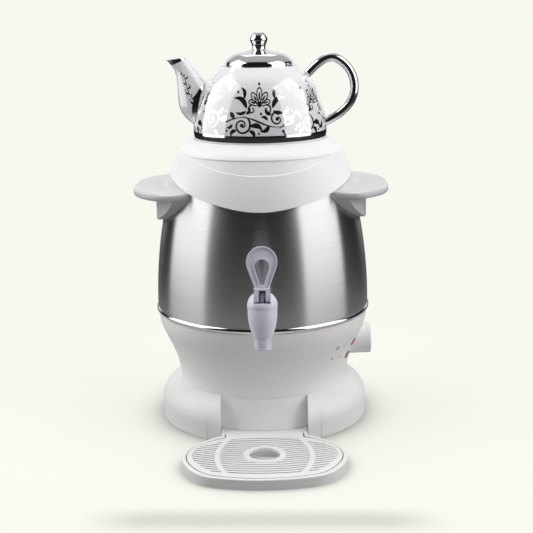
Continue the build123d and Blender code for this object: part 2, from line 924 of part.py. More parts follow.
def tank_body(gap):
    """The tank filled up, with its shoulder and rim, grown by a gap."""
    neck = Cone(
        tank_shoulder_radius + gap,
        tank_mouth + 7 + gap,
        tank_rim - tank_shoulder + gap,
        align=(Align.CENTER, Align.CENTER, Align.MIN),
    )
    return core_under(tank_arc(-gap), tank_foot, tank_shoulder) + Pos(0, 0, tank_shoulder) * neck


def saddle_line(gap):
    """The saddle-shaped edge seen from the side, moved down by a gap: low in front and behind."""
    return Spline(
        (0, collar_side_foot - gap),
        (collar_foot_radius * 0.45, collar_side_foot - 6.3 - gap),
        (collar_foot_radius * 0.77, collar_foot + 10.2 - gap),
        (collar_foot_radius, collar_foot - gap),
        tangents=((1, 0), (1, -0.62)),
    )


def above_saddle(gap):
    """Everything above the saddle-shaped edge."""
    half = saddle_line(gap)
    reach = collar_foot_radius + 40
    end = half @ 1
    drop = (reach - end.X) * 0.62
    over = Polyline(
        (end.X, end.Y),
        (reach, end.Y - drop),
        (reach, collar_top + 60),
        (-reach, collar_top + 60),
        (-reach, end.Y - drop),
        (-end.X, end.Y),
    )
    face = make_face(Curve() + [half, half.mirror(Plane.YZ)] + list(over.edges()))
    return extrude(Plane.YZ * face, reach, both=True)


def handle(side):
    """A wing handle: crescent plate, bracket that hugs the wall, and upstand under the collar."""
    low = handle_top - handle_thickness
    plate = extrude(Pos(0, 0, low) * handle_plan(), handle_thickness)
    rim = [edge for edge in plate.edges().filter_by(Plane.XY) if edge.center().X > 90]
    plate = fillet(rim, handle_thickness * 0.42)
    end = handle_half_depth - 3
    root = handle_root() & arch_region() & block((60, handle_reach), (-end, end), (200, collar_top))
    body = plate + root - tank_body(handle_gap)
    body -= above_saddle(2 * seated)
    for place in handle_screw_places(sides=(0,)):
        body -= place * rod(screw_radius + thread_gap, -1, screw_length - 3.5)
    return Rot(0, 0, side) * body


def handle_screws():
    """The screws that hold the handles, put in from inside the tank."""
    inside = Pos(0, 0, -tank_wall - washer_gap - washer_thickness) * pan_screw(screw_length - 4.0 + tank_wall)
    return group(place * inside for place in handle_screw_places())


def handle_washers():
    """The sealing washers under the handle screws' heads."""
    low = -tank_wall - washer_gap - washer_thickness
    washer = rod(screw_head_radius + 1, low, low + washer_thickness)
    washer -= rod(screw_radius + thread_gap, -5, 5)
    return group(place * washer for place in handle_screw_places())


# ---- Collar ----
def collar():
    """The lift-off collar: belted skirt with a saddle edge, pot seat and locating spigot."""
    inner_side = inner_line(collar_side, collar_wall)
    inner_bevel = inner_line(collar_bevel, collar_wall)
    under = collar_top - collar_wall - seat_depth
    roof = Polyline(
        (collar_seat_radius, collar_top),
        (pot_foot_radius + 0.8, collar_top),
        (pot_foot_radius + 0.8, collar_top - seat_depth),
        (steam_opening, collar_top - seat_depth),
        (steam_opening, under - 4),
        (steam_opening + collar_wall, under - 4),
        (steam_opening + collar_wall, under),
        ((inner_bevel @ 1).X - 1, under),
    )
    bend = Spline(inner_side @ 1, inner_bevel @ 0.35, inner_bevel @ 0.7, ((inner_bevel @ 1).X - 1, under))
    sill = Line(inner_side @ 0, collar_side @ 0)
    body = turned(collar_side, collar_bevel, *roof.edges(), bend, inner_side, sill)
    body -= band_cut()
    body &= above_saddle(0)
    rib_radius = tank_mouth + 3.5
    rib = ring(rib_radius + 1.2, rib_radius - 1.2, tank_rim + seated, under + 0.5)
    spigot = ring(tank_mouth - 0.8, tank_mouth - 2.8, tank_rim - 7, under + 0.5)
    web = ring(rib_radius + 1.2, tank_mouth - 2.8, tank_rim + seated, tank_rim + seated + 2)
    hood = turned(*hood_edges())
    body += (rib + spigot + web) & hood
    return body


def hood_edges():
    """The outline of everything under the collar's skin."""
    side = inner_line(collar_side, collar_wall / 2)
    bevel = inner_line(collar_bevel, collar_wall / 2)
    edges = [side, bevel]
    end = bevel @ 1
    start = side @ 0
    edges += list(Polyline((end.X, end.Y), (0, end.Y), (0, start.Y), (start.X, start.Y)).edges())
    return edges


def band_cut():
    """What is taken off above the skirt's band, so that the band stands proud."""
    reach = collar_foot_radius + 40
    slope = band_rise / collar_waist_radius
    roof = Polyline(
        (-reach, band_front - (reach - collar_waist_radius) * slope),
        (0, band_front + band_rise),
        (reach, band_front - (reach - collar_waist_radius) * slope),
        (reach, collar_top + 60),
        (-reach, collar_top + 60),
        close=True,
    )
    above = extrude(Plane.YZ * make_face(roof), reach, both=True)
    inner = inner_line(collar_side, band_step)
    skin = turned(
        inner_line(collar_side, -2),
        Line(inner_line(collar_side, -2) @ 1, inner @ 1),
        inner,
        Line(inner @ 0, inner_line(collar_side, -2) @ 0),
    )
    return skin & above


# ---- Teapot ----
pot_foot = collar_top - seat_depth + seated
pot_shoulder = pot_foot + pot_height

pot_line = Spline(
    (pot_belly_radius, pot_foot + 7),
    (pot_belly_radius - 4.4, pot_foot + 35.0),
    (pot_belly_radius - 15.0, pot_foot + 60.4),
    (pot_shoulder_radius, pot_foot + 71.7),
    tangents=((0, 1), (-1, 0.9)),
)


def pot_outline(inset):
    """The teapot's body filled up to its skin, moved in by a wall's thickness."""
    line = inner_line(pot_line, inset) if inset else pot_line
    low = line @ 0
    high = line @ 1
    foot = pot_foot + (inset + 2.5 if inset else 0)
    if inset:
        rest = Polyline((high.X, high.Y), (0, high.Y), (0, foot), (low.X - 6, foot), (low.X, low.Y))
    else:
        rest = Polyline(
            (high.X, high.Y),
            (high.X - 3.8, pot_shoulder - 0.4),
            (lid_radius + 0.6, pot_shoulder),
            (0, pot_shoulder),
            (0, foot),
            (pot_foot_radius, foot),
            (low.X, low.Y),
        )
    return turned(line, *rest.edges())


def spout_sections():
    """Height over the foot, outer edge, inner edge, half-width and tilt, from root to mouth."""
    return (
        (11.5, -62.0, -30.0, 7.0, 0),
        (16.0, -71.8, -32.0, 11.5, 0),
        (23.0, -79.3, -35.0, 15.5, 0),
        (31.0, -84.2, -38.0, 17.0, 0),
        (42.0, -86.0, -43.0, 16.2, 0),
        (55.0, -86.5, -52.5, 13.2, 0),
        (66.0, -87.4, -61.8, 10.0, 0),
        (74.0, -90.2, -68.8, 7.8, 2),
        (80.0, -93.9, -74.2, 6.6, 5),
        (83.6, -97.6, -77.8, 6.2, 7),
    )


def spout_solid(inset):
    """The spout's solid through its sections, slimmer by an inset."""
    planes = []
    for height, outer, inner, half_width, tilt in spout_sections():
        place = Pos((outer + inner) / 2, 0, pot_foot + height) * Rot(0, -tilt, 0)
        planes.append(place * Ellipse((inner - outer) / 2 - inset, half_width - inset))
    return loft(planes)


ear_points = (   # distance outside the belly, height over the foot
    (-23.6, 62.5),
    (-16.1, 70.5),
    (-6.6, 78.6),
    (5.4, 83.4),
    (17.9, 77.6),
    (26.9, 66.0),
    (29.7, 52.0),
    (25.9, 37.5),
    (16.4, 26.5),
    (3.4, 18.2),
    (-4.6, 14.5),
)


def pot_handle():
    """The teapot's ear: an oval bar swept along a high loop."""
    path = Spline(*[(pot_belly_radius + out, 0, pot_foot + up) for out, up in ear_points])
    section = Plane(origin=path @ 0, x_dir=(0, 1, 0), z_dir=path % 0) * Ellipse(
        pot_handle_radius * 1.15, pot_handle_radius
    )
    return sweep(section, path=path)


def teapot():
    """The porcelain teapot: body, spout with strainer holes, and ear, as one piece."""
    cavity = pot_outline(pot_wall)
    body = pot_outline(0)
    spout = spout_solid(0)
    spout_bore = spout_solid(spout_wall)
    body += spout + pot_handle()
    body -= spout_bore - pot_outline(0)
    body -= cavity
    body -= rod(pot_mouth, pot_shoulder - 20, pot_shoulder + 5)
    body -= rod(pot_foot_radius - foot_ring, pot_foot - 1, pot_foot + 2.5)
    for row in (-1, 0, 1):
        for column in (-1, 0, 1):
            hole = Pos(-62, column * 6.2, pot_foot + 38 + row * 6.2) * Rot(0, 90, 0)
            body -= hole * Cylinder(strainer_hole, 24)
    return body


# ---- Teapot lid ----
lid_foot = pot_shoulder + seated


def teapot_lid():
    """The lid: rolled edge, creased dome, mushroom knob, steam hole and a spigot in the mouth."""
    foot = lid_foot
    crown = foot + lid_height + 0.8
    roll = Spline(
        (lid_radius, foot + 1.2),
        (lid_radius - 1.6, foot + 5.2),
        (lid_radius - 6.3, foot + 9.4),
        (lid_crease, foot + 13.0),
        tangents=((0, 1), (-1, 0.22)),
    )
    dome = Spline(
        (lid_crease - 0.5, foot + 12.7),
        (lid_neck + 5.5, foot + 14.6),
        (lid_neck, crown + 2.0),
        tangents=((-1, 0.2), (-0.1, 1)),
    )
    knob = Spline(
        (lid_neck, crown + 2.0),
        (lid_knob_radius, foot + lid_knob_top - 6.2),
        (lid_knob_radius - 3.6, foot + lid_knob_top - 0.7),
        (0, foot + lid_knob_top),
        tangents=((0.05, 1), (-1, 0)),
    )
    rest = Polyline(
        (0, foot + lid_knob_top),
        (0, foot + lid_height - lid_wall - 1),
        (lid_radius - 16, foot + lid_height - lid_wall - 5),
        (lid_spigot - lid_wall, foot + 3),
        (lid_spigot - lid_wall, foot - 7),
        (lid_spigot, foot - 7),
        (lid_spigot, foot),
        (lid_radius, foot),
        (lid_radius, foot + 1.2),
    )
    lid = turned(roll, Line(roll @ 1, dome @ 0), dome, knob, *rest.edges())
    return lid - Pos(0, -22, 0) * rod(steam_hole, foot, foot + 30)


# ---- Tap: built upright on its own axis, then leaned back and put in front of the tank ----
tap_place = Pos(0, -tap_reach, tap_height) * Rot(-tap_lean, 0, 0)
shank_level = tap_height + shank_height * cos(radians(tap_lean))
shank_start = -tap_reach + shank_height * sin(radians(tap_lean))
cam_base = cam_pin_height - channel_floor - 0.15
cam_rise = cam_lift * radians(cam_travel)


def tap_shank_bar(radius, start, end):
    """A bar along Y at the shank's height."""
    bar = Cylinder(radius, end - start, align=(Align.CENTER, Align.CENTER, Align.MIN))
    return Pos(0, end, shank_level) * Rot(90, 0, 0) * bar


def wall_front():
    """How far in front of the axis the tank's wall lies at the shank's height."""
    return (tank_line @ at_height(tank_line, shank_level)).X


def barrel_line():
    """The barrel's outer line above the nozzle."""
    return Spline(
        (nozzle_radius - 0.6, nozzle_length),
        (barrel_radius - 2.6, nozzle_length + 9.4),
        (barrel_radius - 0.7, nozzle_length + 17.0),
        (barrel_radius, barrel_height),
        tangents=((0.75, 1), (0, 1)),
    )


def tap_body():
    """The barrel with its ringed nozzle and seat, and the threaded shank through the wall."""
    line = barrel_line()
    barrel = core_under(line, nozzle_length - 1, barrel_height)
    barrel = barrel & rod(barrel_radius + 5, nozzle_length, barrel_height)
    nozzle = rod(nozzle_radius, 0, nozzle_length + 0.5)
    nozzle = fillet(nozzle.edges().group_by(Axis.Z)[0], 1.2)
    barrel += nozzle
    for level in (2.4, 5.2, 8.0):
        barrel -= ring(nozzle_radius + 1, nozzle_radius - nozzle_groove, level, level + 1.1)
    barrel = tap_place * barrel
    flange_face = -wall_front() - gasket_thickness
    barrel += tap_shank_bar(shank_radius, shank_start, -wall_front() + 17)
    barrel += tap_shank_bar(shank_flange, flange_face - 3, flange_face)
    hollow = rod(nozzle_bore, -1, chamber_floor + 1)
    hollow += rod(chamber_radius, chamber_floor, barrel_height + 1)
    hollow += rod(plug_radius + laid, barrel_height - plug_length - laid, barrel_height + 1)
    hollow -= ring(nozzle_bore + 1.6, nozzle_bore, chamber_floor - 1, chamber_floor + 0.8)
    barrel -= tap_place * hollow
    barrel -= tap_shank_bar(shank_bore, shank_start, -wall_front() + 18)
    return barrel


def tap_bonnet():
    """The dome screwed on the barrel, with a channel for the lever between two cheeks."""
    low = barrel_height + laid
    dome = turned(
        ThreePointArc(
            (bonnet_radius, low + 2.4),
            (bonnet_radius * 0.80, low + 11.3),
            (5.5, low + bonnet_height),
        ),
        *Polyline(
            (5.5, low + bonnet_height),
            (0, low + bonnet_height),
            (0, low),
            (bonnet_radius - 0.3, low),
            (bonnet_radius, low + 2.4),
        ).edges(),
    )
    plug = rod(plug_radius, barrel_height - plug_length, low + 1)
    dome += plug
    channel = lever_half_width + seated
    dome -= block((-channel, channel), (-20, 20), (channel_floor, low + bonnet_height + 1))
    dome -= rod(stem_radius + running, 0, channel_floor + 1)
    dome -= rod(chamber_radius - 2.4, 0, channel_floor - 4)
    return tap_place * dome


def tap_stem():
    """The valve's stem, with a disc that carries the seal and a cross hole for the lever's pin."""
    low = chamber_floor + 1.0 + seal_thickness
    stem = rod(stem_radius, low - seal_thickness - 1.0 + 1.6, cam_pin_height + 3.0)
    stem += rod(seal_radius - 1, low, low + 2)
    stem = chamfer(stem.edges().group_by(Axis.Z)[-1], 0.8)
    stem -= Pos(0, 0, cam_pin_height) * Rot(0, 90, 0) * Cylinder(stem_pin_radius + 0.02, 12)
    return tap_place * stem


def tap_seal():
    """The silicone seal that closes on the barrel's seat."""
    low = chamber_floor + 1.0
    seal = rod(seal_radius, low, low + seal_thickness)
    seal = fillet(seal.edges().group_by(Axis.Z)[0], 0.8)
    seal -= rod(stem_radius + 0.02, low + 0.58, low + seal_thickness + 1)
    return tap_place * seal


def tap_pin():
    """The pin through stem and lever."""
    length = 2 * lever_half_width - 1.0
    return tap_place * Pos(0, 0, cam_pin_height) * Rot(0, 90, 0) * Cylinder(stem_pin_radius, length)


def tap_spring():
    """The spring that shuts the valve, between the stem's disc and the bonnet."""
    low = chamber_floor + 1.0 + seal_thickness + 2 + spring_wire / 2 + 0.1
    high = channel_floor - 4 - spring_wire / 2 - 0.1
    coil = Helix(pitch=(high - low) / spring_turns, height=high - low, radius=spring_radius)
    wire = sweep(Plane(origin=coil @ 0, z_dir=coil % 0) * Circle(spring_wire / 2), path=coil)
    return tap_place * Pos(0, 0, low) * wire


def cam_outline():
    """The lever's cam seen from the side: an involute, so that lift is even with the turn."""
    points = []
    for step in range(7):
        turn = radians(cam_travel) * step / 6
        reach = cam_base + cam_lift * turn
        points.append(
            (
                -reach * sin(turn) - cam_lift * cos(turn),
                -reach * cos(turn) + cam_lift * sin(turn),
            )
        )
    curve = Spline(*points, tangents=((-1, 0), (0, 1)))
    top = lever_neck - cam_pin_height
    rest = Polyline(
        points[-1],
        (points[-1][0], top),
        (lever_back, top),
        (lever_back, -cam_base),
        points[0],
    )
    return make_face(Curve() + [curve] + list(rest.edges()))


def tap_lever():
    """The lever: cam block with its slot, and the tapered finger loop above it."""
    centre = Pos(0, 0, cam_pin_height)
    cam = centre * extrude(Plane.YZ * cam_outline(), lever_half_width, both=True)
    slot = block(
        (-lever_slot, lever_slot),
        (-cam_base - cam_rise - 2, stem_radius + 1),
        (-cam_base - 2, lever_neck - cam_pin_height - 1.5),
    )
    high = loop_top - loop_radius
    foot = lever_neck + 4
    window_low = foot + 1.6
    window_high = high - 4.2
    outline = tapered_loop(foot, lever_half_width, high, loop_radius)
    window = tapered_loop(window_low, window_foot, window_high, loop_window)
    loop = extrude(Plane.XZ * (outline - window), loop_thickness / 2, both=True)
    web = tapered_loop(foot, lever_half_width - loop_rim, high, loop_radius - loop_rim)
    rim = tapered_loop(window_low, window_foot + loop_rim, window_high, loop_window + loop_rim)
    groove = extrude(Plane.XZ.offset(loop_thickness / 2) * (web - rim), loop_groove, both=True)
    loop -= groove & block((-loop_radius, loop_radius), (-loop_thickness, 0), (lever_neck + 0.6, loop_top))
    loop &= block((-loop_radius, loop_radius), (-loop_thickness, loop_thickness), (lever_neck - 0.5, loop_top + 1))
    lever = cam + Pos(0, -loop_thickness / 2, 0) * loop
    lever -= centre * slot
    lever -= centre * Rot(0, 90, 0) * Cylinder(stem_pin_radius + running, 40)
    return tap_place * lever


def tap_gasket(outside):
    """A sealing ring against the wall, with one face curved to it."""
    front = wall_front()
    if outside:
        blank = tap_shank_bar(shank_flange, -front - gasket_thickness, -front + 2)
        blank -= tank_outer_core(laid / 2)
    else:
        blank = tap_shank_bar(shank_flange, -front - 2, -front + tank_wall + gasket_thickness)
        blank &= tank_outer_core(-tank_wall - laid / 2)
    return blank - tap_shank_bar(shank_radius + laid, -tap_reach, 0)


def tank_outer_core(gap):
    """The tank filled up to its outer skin, grown by a gap."""
    return core_under(tank_arc(-gap), tank_foot, tank_rim)


def tap_nut():
    """The nut inside the tank that holds the tap."""
    face = -wall_front() + tank_wall + gasket_thickness + laid
    hexagon = RegularPolygon(12.5, 6, major_radius=False)
    nut = extrude(Plane(origin=(0, face, shank_level), x_dir=(1, 0, 0), z_dir=(0, 1, 0)) * hexagon, 6)
    return nut - tap_shank_bar(shank_radius + laid, -tap_reach, 0)


# ---- Drip tray and grille ----
def tray_outline(inset):
    """The tray's plan: a fan with rounded corners and a tongue towards the base."""
    half = tray_half_width - inset
    front = tray_front - inset
    neck = tray_neck + inset
    tongue = tray_tongue_half_width - inset
    end = tray_tongue_end + inset
    right = [
        ThreePointArc((0, -front), (half * 0.31, -front + 1.9), (half * 0.60, -front + 7.2)),
        Spline(
            (half * 0.60, -front + 7.2),
            (half * 0.885, -front + 26.0),
            (half, -tray_widest),
            (half - 6.0, -tray_widest + 29.0 + inset * 0.3),
            (tongue + 8.0, -neck - 4.5),
            (tongue, -neck),
            tangents=((0.96, 0.28), (-1, 0.55)),
        ),
        Line((tongue, -neck), (tongue, -end)),
    ]
    left = [edge.mirror(Plane.YZ) for edge in right]
    back = Line((tongue, -end), (-tongue, -end))
    return make_face(Curve() + right + [back] + left)


def drip_tray():
    """The tray that slides into the base's recess, with a ledge for the grille."""
    tray = extrude(tray_outline(0), tray_height)
    top = tray.faces().sort_by(Axis.Z)[-1].outer_wire().edges()
    tray = fillet([edge for edge in top if edge.center().Y < -tray_neck + 2], 0.8)
    basin_depth = tray_height - tray_floor
    basin = extrude(Pos(0, 0, tray_floor) * tray_outline(tray_wall + 1.4), basin_depth + 1)
    tray -= basin & in_front_of(grille_end + tray_wall)
    ledge = tray_height - grille_thickness - seated
    seat = extrude(Pos(0, 0, ledge) * tray_outline(grille_border - 2 * laid), grille_thickness + 1)
    tray -= seat & in_front_of(grille_end - 2 * laid)
    under = extrude(tray_outline(tray_wall + 1.4), tray_height - tray_wall)
    tray -= under - in_front_of(grille_end)
    return tray


def in_front_of(distance):
    """Everything that lies further in front of the axis than a distance."""
    side = tray_half_width + 10
    return block((-side, side), (-tray_front - 10, -distance), (-10, tray_height + 10))


def grille_rows_face():
    """The curved rows of slots in plan, before the solid bands are left out."""
    rows = Sketch()
    for index in range(grille_rows):
        level = -grille_first_row + index * grille_pitch + grille_row_radius
        row = Circle(grille_row_radius + grille_slot / 2) - Circle(grille_row_radius - grille_slot / 2)
        near = Pos(0, -grille_row_radius) * Rectangle(2 * tray_half_width, grille_row_radius)
        rows += Pos(0, level) * (row & near)
    return rows


def grille_bands():
    """The two bowed bands that stay solid across the slots."""
    bands = Sketch()
    for side in (-1, 1):
        arc = Circle(band_bow + grille_band / 2) - Circle(band_bow - grille_band / 2)
        half = Rectangle(tray_half_width, 2 * tray_half_width)
        bands += (Pos(side * (band_middle - band_bow), -dish_centre - 2) * arc) & (
            Pos(side * tray_half_width / 2, -dish_centre) * half
        )
    return bands


def drip_grille():
    """The lift-out grille: curved slots, two solid bands and a ringed finger hole."""
    high = tray_height
    low = high - grille_thickness
    plate = extrude(Pos(0, 0, low) * tray_outline(grille_border), grille_thickness)
    plate &= in_front_of(grille_end)
    zone = tray_outline(grille_border + 5.5)
    zone &= Pos(0, -(tray_neck + 7 + tray_front) / 2) * Rectangle(
        2 * tray_half_width, tray_front - tray_neck - 7
    )
    slots = grille_rows_face() & zone
    slots -= grille_bands()
    slots -= Pos(0, -dish_centre) * Circle(dish_ring)
    plate -= Pos(0, 0, low - 1) * extrude(slots, grille_thickness + 2)
    lip = ring(dish_ring - 1.5, dish_radius, low, high + dish_lip)
    plate += Pos(0, -dish_centre) * lip
    return plate - Pos(0, -dish_centre) * rod(dish_radius, 0, high + 2)


PARTS = {
    "base_housing": base_housing,
    "base_cover": base_cover,
    "base_screws": base_screws,
    "rubber_feet": rubber_feet,
    "cord_gland": cord_gland,
    "terminal_block": terminal_block,
    "lower_housing": lower_housing,
    "housing_screws": housing_screws,
    "lamp_lens_heating": lambda: lamp_lens(*lamp_places["heating"]),
    "lamp_lens_keep_warm": lambda: lamp_lens(*lamp_places["keep_warm"]),
    "lamp_bulbs": lamp_bulbs,
    "thermostat": thermostat,
    "thermostat_shaft": thermostat_shaft,
    "thermostat_knob": thermostat_knob,
    "trim_ring": trim_ring,
    "tank_wall": tank,
    "tank_floor": tank_floor,
    "heat_plate": heat_plate,
    "heating_element": heating_element,
    "thermal_cutout": thermal_cutout,
    "sensor_bulb": sensor_bulb,
    "sensor_clip": sensor_clip,
    "tie_rod": tie_rod,
    "tie_strap": tie_strap,
    "strap_screws": strap_screws,
    "tie_nut": tie_nut,
    "right_handle": lambda: handle(0),
    "left_handle": lambda: handle(180),
    "handle_screws": handle_screws,
    "handle_washers": handle_washers,
    "collar": collar,
    "teapot": teapot,
    "teapot_lid": teapot_lid,
    "tap_body": tap_body,
    "tap_bonnet": tap_bonnet,
    "tap_stem": tap_stem,
    "tap_seal": tap_seal,
    "tap_pin": tap_pin,
    "tap_spring": tap_spring,
    "tap_lever": tap_lever,
    "tap_outer_gasket": lambda: tap_gasket(True),
    "tap_inner_gasket": lambda: tap_gasket(False),
    "tap_nut": tap_nut,
    "drip_tray": drip_tray,
    "drip_grille": drip_grille,
}

if __name__ == "__main__":
    os.makedirs("parts", exist_ok=True)
    for node, make in PARTS.items():
        export_step(make(), f"parts/{node}.step")
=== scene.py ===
"""Dresses the tea samovar: its finishes, its fine detail, and the studio that it stands in.

Every mesh made here is worked out with numpy as a grid of points. A grid's first index is its row
and its second its column. Lengths are metres, unless a name or a docstring says millimetres.
"""

from __future__ import annotations

import json
import logging
import math
from dataclasses import dataclass
from enum import Enum
from typing import Sequence

import bmesh
import bpy
import numpy as np
from mathutils import Matrix, Vector

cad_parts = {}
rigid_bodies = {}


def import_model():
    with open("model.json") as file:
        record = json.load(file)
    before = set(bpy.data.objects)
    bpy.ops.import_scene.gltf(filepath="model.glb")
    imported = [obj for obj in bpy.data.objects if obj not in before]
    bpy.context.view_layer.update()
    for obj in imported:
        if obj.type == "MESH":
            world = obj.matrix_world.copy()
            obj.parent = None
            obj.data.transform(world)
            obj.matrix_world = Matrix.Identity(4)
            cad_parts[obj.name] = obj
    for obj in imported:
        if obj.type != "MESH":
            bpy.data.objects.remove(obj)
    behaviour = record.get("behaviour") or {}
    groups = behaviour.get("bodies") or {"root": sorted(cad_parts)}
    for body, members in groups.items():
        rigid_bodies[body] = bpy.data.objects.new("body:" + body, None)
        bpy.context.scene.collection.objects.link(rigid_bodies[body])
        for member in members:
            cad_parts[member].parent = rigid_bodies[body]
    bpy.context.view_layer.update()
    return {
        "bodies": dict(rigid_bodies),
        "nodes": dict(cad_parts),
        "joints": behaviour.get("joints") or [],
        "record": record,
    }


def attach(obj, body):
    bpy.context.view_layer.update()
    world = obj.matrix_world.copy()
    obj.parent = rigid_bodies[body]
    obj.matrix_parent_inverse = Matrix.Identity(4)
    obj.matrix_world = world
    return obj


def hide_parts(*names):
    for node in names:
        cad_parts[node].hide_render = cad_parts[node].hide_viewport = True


log = logging.getLogger("samovar")
Colour = tuple[float, float, float]
Line = tuple[tuple[float, float], ...]
Socket = bpy.types.NodeSocket
MM = 0.001


# ---------------------------------------------------------------- finishes


class NodeWork:
    """The nodes of a material or of the world, under construction."""

    def __init__(self, owner: bpy.types.Material | bpy.types.World) -> None:
        """Keeps the owner's node tree, and empties it.

        Args:
            owner: the material or the world.
        """
        owner.use_nodes = True
        self.tree = owner.node_tree
        self.tree.nodes.clear()

    def plug(self, socket: Socket, value: object) -> None:
        """Links another node's socket to an input, or sets the input's own value.

        Args:
            socket: the input.
            value: a socket to link, or a plain value.
        """
        if isinstance(value, Socket):
            self.tree.links.new(value, socket)
        else:
            socket.default_value = value

    def node(self, kind: str, **inputs: object) -> bpy.types.Node:
        """Adds a node, and gives its inputs values or other nodes' sockets.

        Args:
            kind: the node's Blender type, without the words ShaderNode.
            inputs: each input's name, with _ for a space, and its value or socket.

        Returns:
            The node.
        """
        made = self.tree.nodes.new("ShaderNode" + kind)
        for name, value in inputs.items():
            self.plug(made.inputs[name.replace("_", " ")], value)
        return made

    def maths(self, operation: str, *values: float | Socket) -> Socket:
        """Adds a Math node.

        Args:
            operation: its operation, as Blender names it.
            values: its inputs' values or sockets, in order.

        Returns:
            The result.
        """
        made = self.node("Math")
        made.operation = operation
        for socket, value in zip(made.inputs, values):
            self.plug(socket, value)
        return made.outputs[0]

    def eased(self, value: Socket, low: float, high: float, start: float, end: float) -> Socket:
        """Eases from start to end while a value goes from low to high.

        Args:
            value: what is followed.
            low: the value where the easing starts.
            high: the value where it ends.
            start: the result up to low.
            end: the result from high on.

        Returns:
            The eased result.
        """
        made = self.node("MapRange", Value=value, From_Min=low, From_Max=high, To_Min=start, To_Max=end)
        made.interpolation_type = "SMOOTHSTEP"
        return made.outputs[0]

    def mixed(self, share: Socket, first: Socket | None, second: Socket) -> Socket:
        """Mixes two shaders.

        Args:
            share: the share of the second.
            first: the first shader, or None for black.
            second: the second shader.

        Returns:
            The mixed shader.
        """
        made = self.node("MixShader", Fac=share)
        if first is not None:
            self.plug(made.inputs[1], first)
        self.plug(made.inputs[2], second)
        return made.outputs[0]


class NodeMaterial(NodeWork):
    """A material under construction, with its Principled shader ready."""

    def __init__(self, name: str) -> None:
        """Makes an empty material with a Principled shader and its output.

        Args:
            name: the material's name.
        """
        self.material = bpy.data.materials.new(name)
        super().__init__(self.material)
        self.shader = self.node("BsdfPrincipled")
        self.node("OutputMaterial", Surface=self.shader.outputs[0])

    def shade(self, **inputs: object) -> None:
        """Sets or links inputs of the Principled shader."""
        for name, value in inputs.items():
            self.plug(self.shader.inputs[name.replace("_", " ")], value)

    def noise(self, per_metre: Sequence[float], detail: float = 3.0, distort: float = 0.0) -> Socket:
        """A fractal noise on Object coordinates.

        Args:
            per_metre: how many of its cells lie in a metre along X, Y and Z.
            detail: how many finer layers are added.
            distort: how much its shapes are bent.

        Returns:
            The noise, from 0 to 1.
        """
        where = self.node("TexCoord").outputs["Object"]
        scaled = self.node("Mapping", Vector=where, Scale=tuple(per_metre)).outputs[0]
        made = self.node("TexNoise", Vector=scaled, Scale=1.0, Detail=detail, Distortion=distort)
        return made.outputs["Fac"]

    def between(self, value: Socket, low: float, high: float) -> Socket:
        """Maps a noise's middle range, 0.3 to 0.7, to low to high."""
        made = self.node("MapRange", Value=value, From_Min=0.3, From_Max=0.7, To_Min=low, To_Max=high)
        return made.outputs[0]

    def tinted(self, colour: Colour, value: Socket, share: float) -> Socket:
        """A colour that a noise makes darker and lighter by a share.

        Args:
            colour: the colour between the two.
            value: the noise.
            share: how much of the colour is taken off and added.

        Returns:
            The colour.
        """
        mix = self.tree.nodes.new("ShaderNodeMix")
        mix.data_type = "RGBA"
        self.plug(mix.inputs[0], self.between(value, 0.0, 1.0))
        self.plug(mix.inputs[6], tuple(c * (1 - share) for c in colour) + (1.0,))
        self.plug(mix.inputs[7], tuple(min(1.0, c * (1 + share)) for c in colour) + (1.0,))
        return mix.outputs[2]

    def relief(self, height: Socket, depth_mm: float) -> None:
        """Gives the surface a relief that follows a noise, over a depth in millimetres."""
        bump = self.node("Bump", Strength=1.0, Distance=depth_mm * MM, Height=height)
        self.shade(Normal=bump.outputs[0])


@dataclass(frozen=True)
class Plastic:
    """Moulded plastic: an even colour, faint flow marks, and a fine grain from the mould."""

    name: str
    colour: Colour
    roughness: float = 0.40
    grain_mm: float = 0.010
    grain_per_m: float = 1500.0
    flow_per_m: tuple[float, float, float] = (14.0, 14.0, 22.0)
    flow_bend: float = 0.4
    tint: float = 0.018
    spread: float = 0.05

    def material(self) -> bpy.types.Material:
        """Colour from a slow noise, roughness and relief from the fine one.

        Returns:
            The material.
        """
        make = NodeMaterial(self.name)
        flow = make.noise(self.flow_per_m, 2.0, self.flow_bend)
        grain = make.noise((self.grain_per_m,) * 3, 2.0)
        make.shade(
            Base_Color=make.tinted(self.colour, flow, self.tint),
            Roughness=make.between(grain, self.roughness - self.spread, self.roughness + self.spread),
        )
        make.relief(grain, self.grain_mm)
        return make.material


@dataclass(frozen=True)
class Brushed:
    """Steel brushed round the tank: long and short streaks along the brushing."""

    name: str
    colour: Colour
    roughness: float = 0.30
    anisotropy: float = 0.94
    streaks_per_m: float = 1700.0
    long_per_m: float = 2.0
    short_per_m: float = 20.0
    short_finer: float = 1.8
    tint: float = 0.08
    spread: float = 0.03
    relief_mm: float = 0.001

    def material(self) -> bpy.types.Material:
        """Two stretched noises give the streaks their tone, gloss and relief.

        Returns:
            The material.
        """
        make = NodeMaterial(self.name)
        across, finer = self.streaks_per_m, self.streaks_per_m * self.short_finer
        long_streaks = make.noise((self.long_per_m, self.long_per_m, across), 4.0)
        short_streaks = make.noise((self.short_per_m, self.short_per_m, finer), 3.0)
        tangent = make.tree.nodes.new("ShaderNodeTangent")
        tangent.direction_type = "UV_MAP"
        tangent.uv_map = "UVMap"
        make.shade(
            Base_Color=make.tinted(self.colour, short_streaks, self.tint),
            Metallic=1.0,
            Roughness=make.between(long_streaks, self.roughness - self.spread, self.roughness + self.spread),
            Anisotropic=self.anisotropy,
            Anisotropic_Rotation=0.25,
            Tangent=tangent.outputs[0],
        )
        make.relief(short_streaks, self.relief_mm)
        return make.material


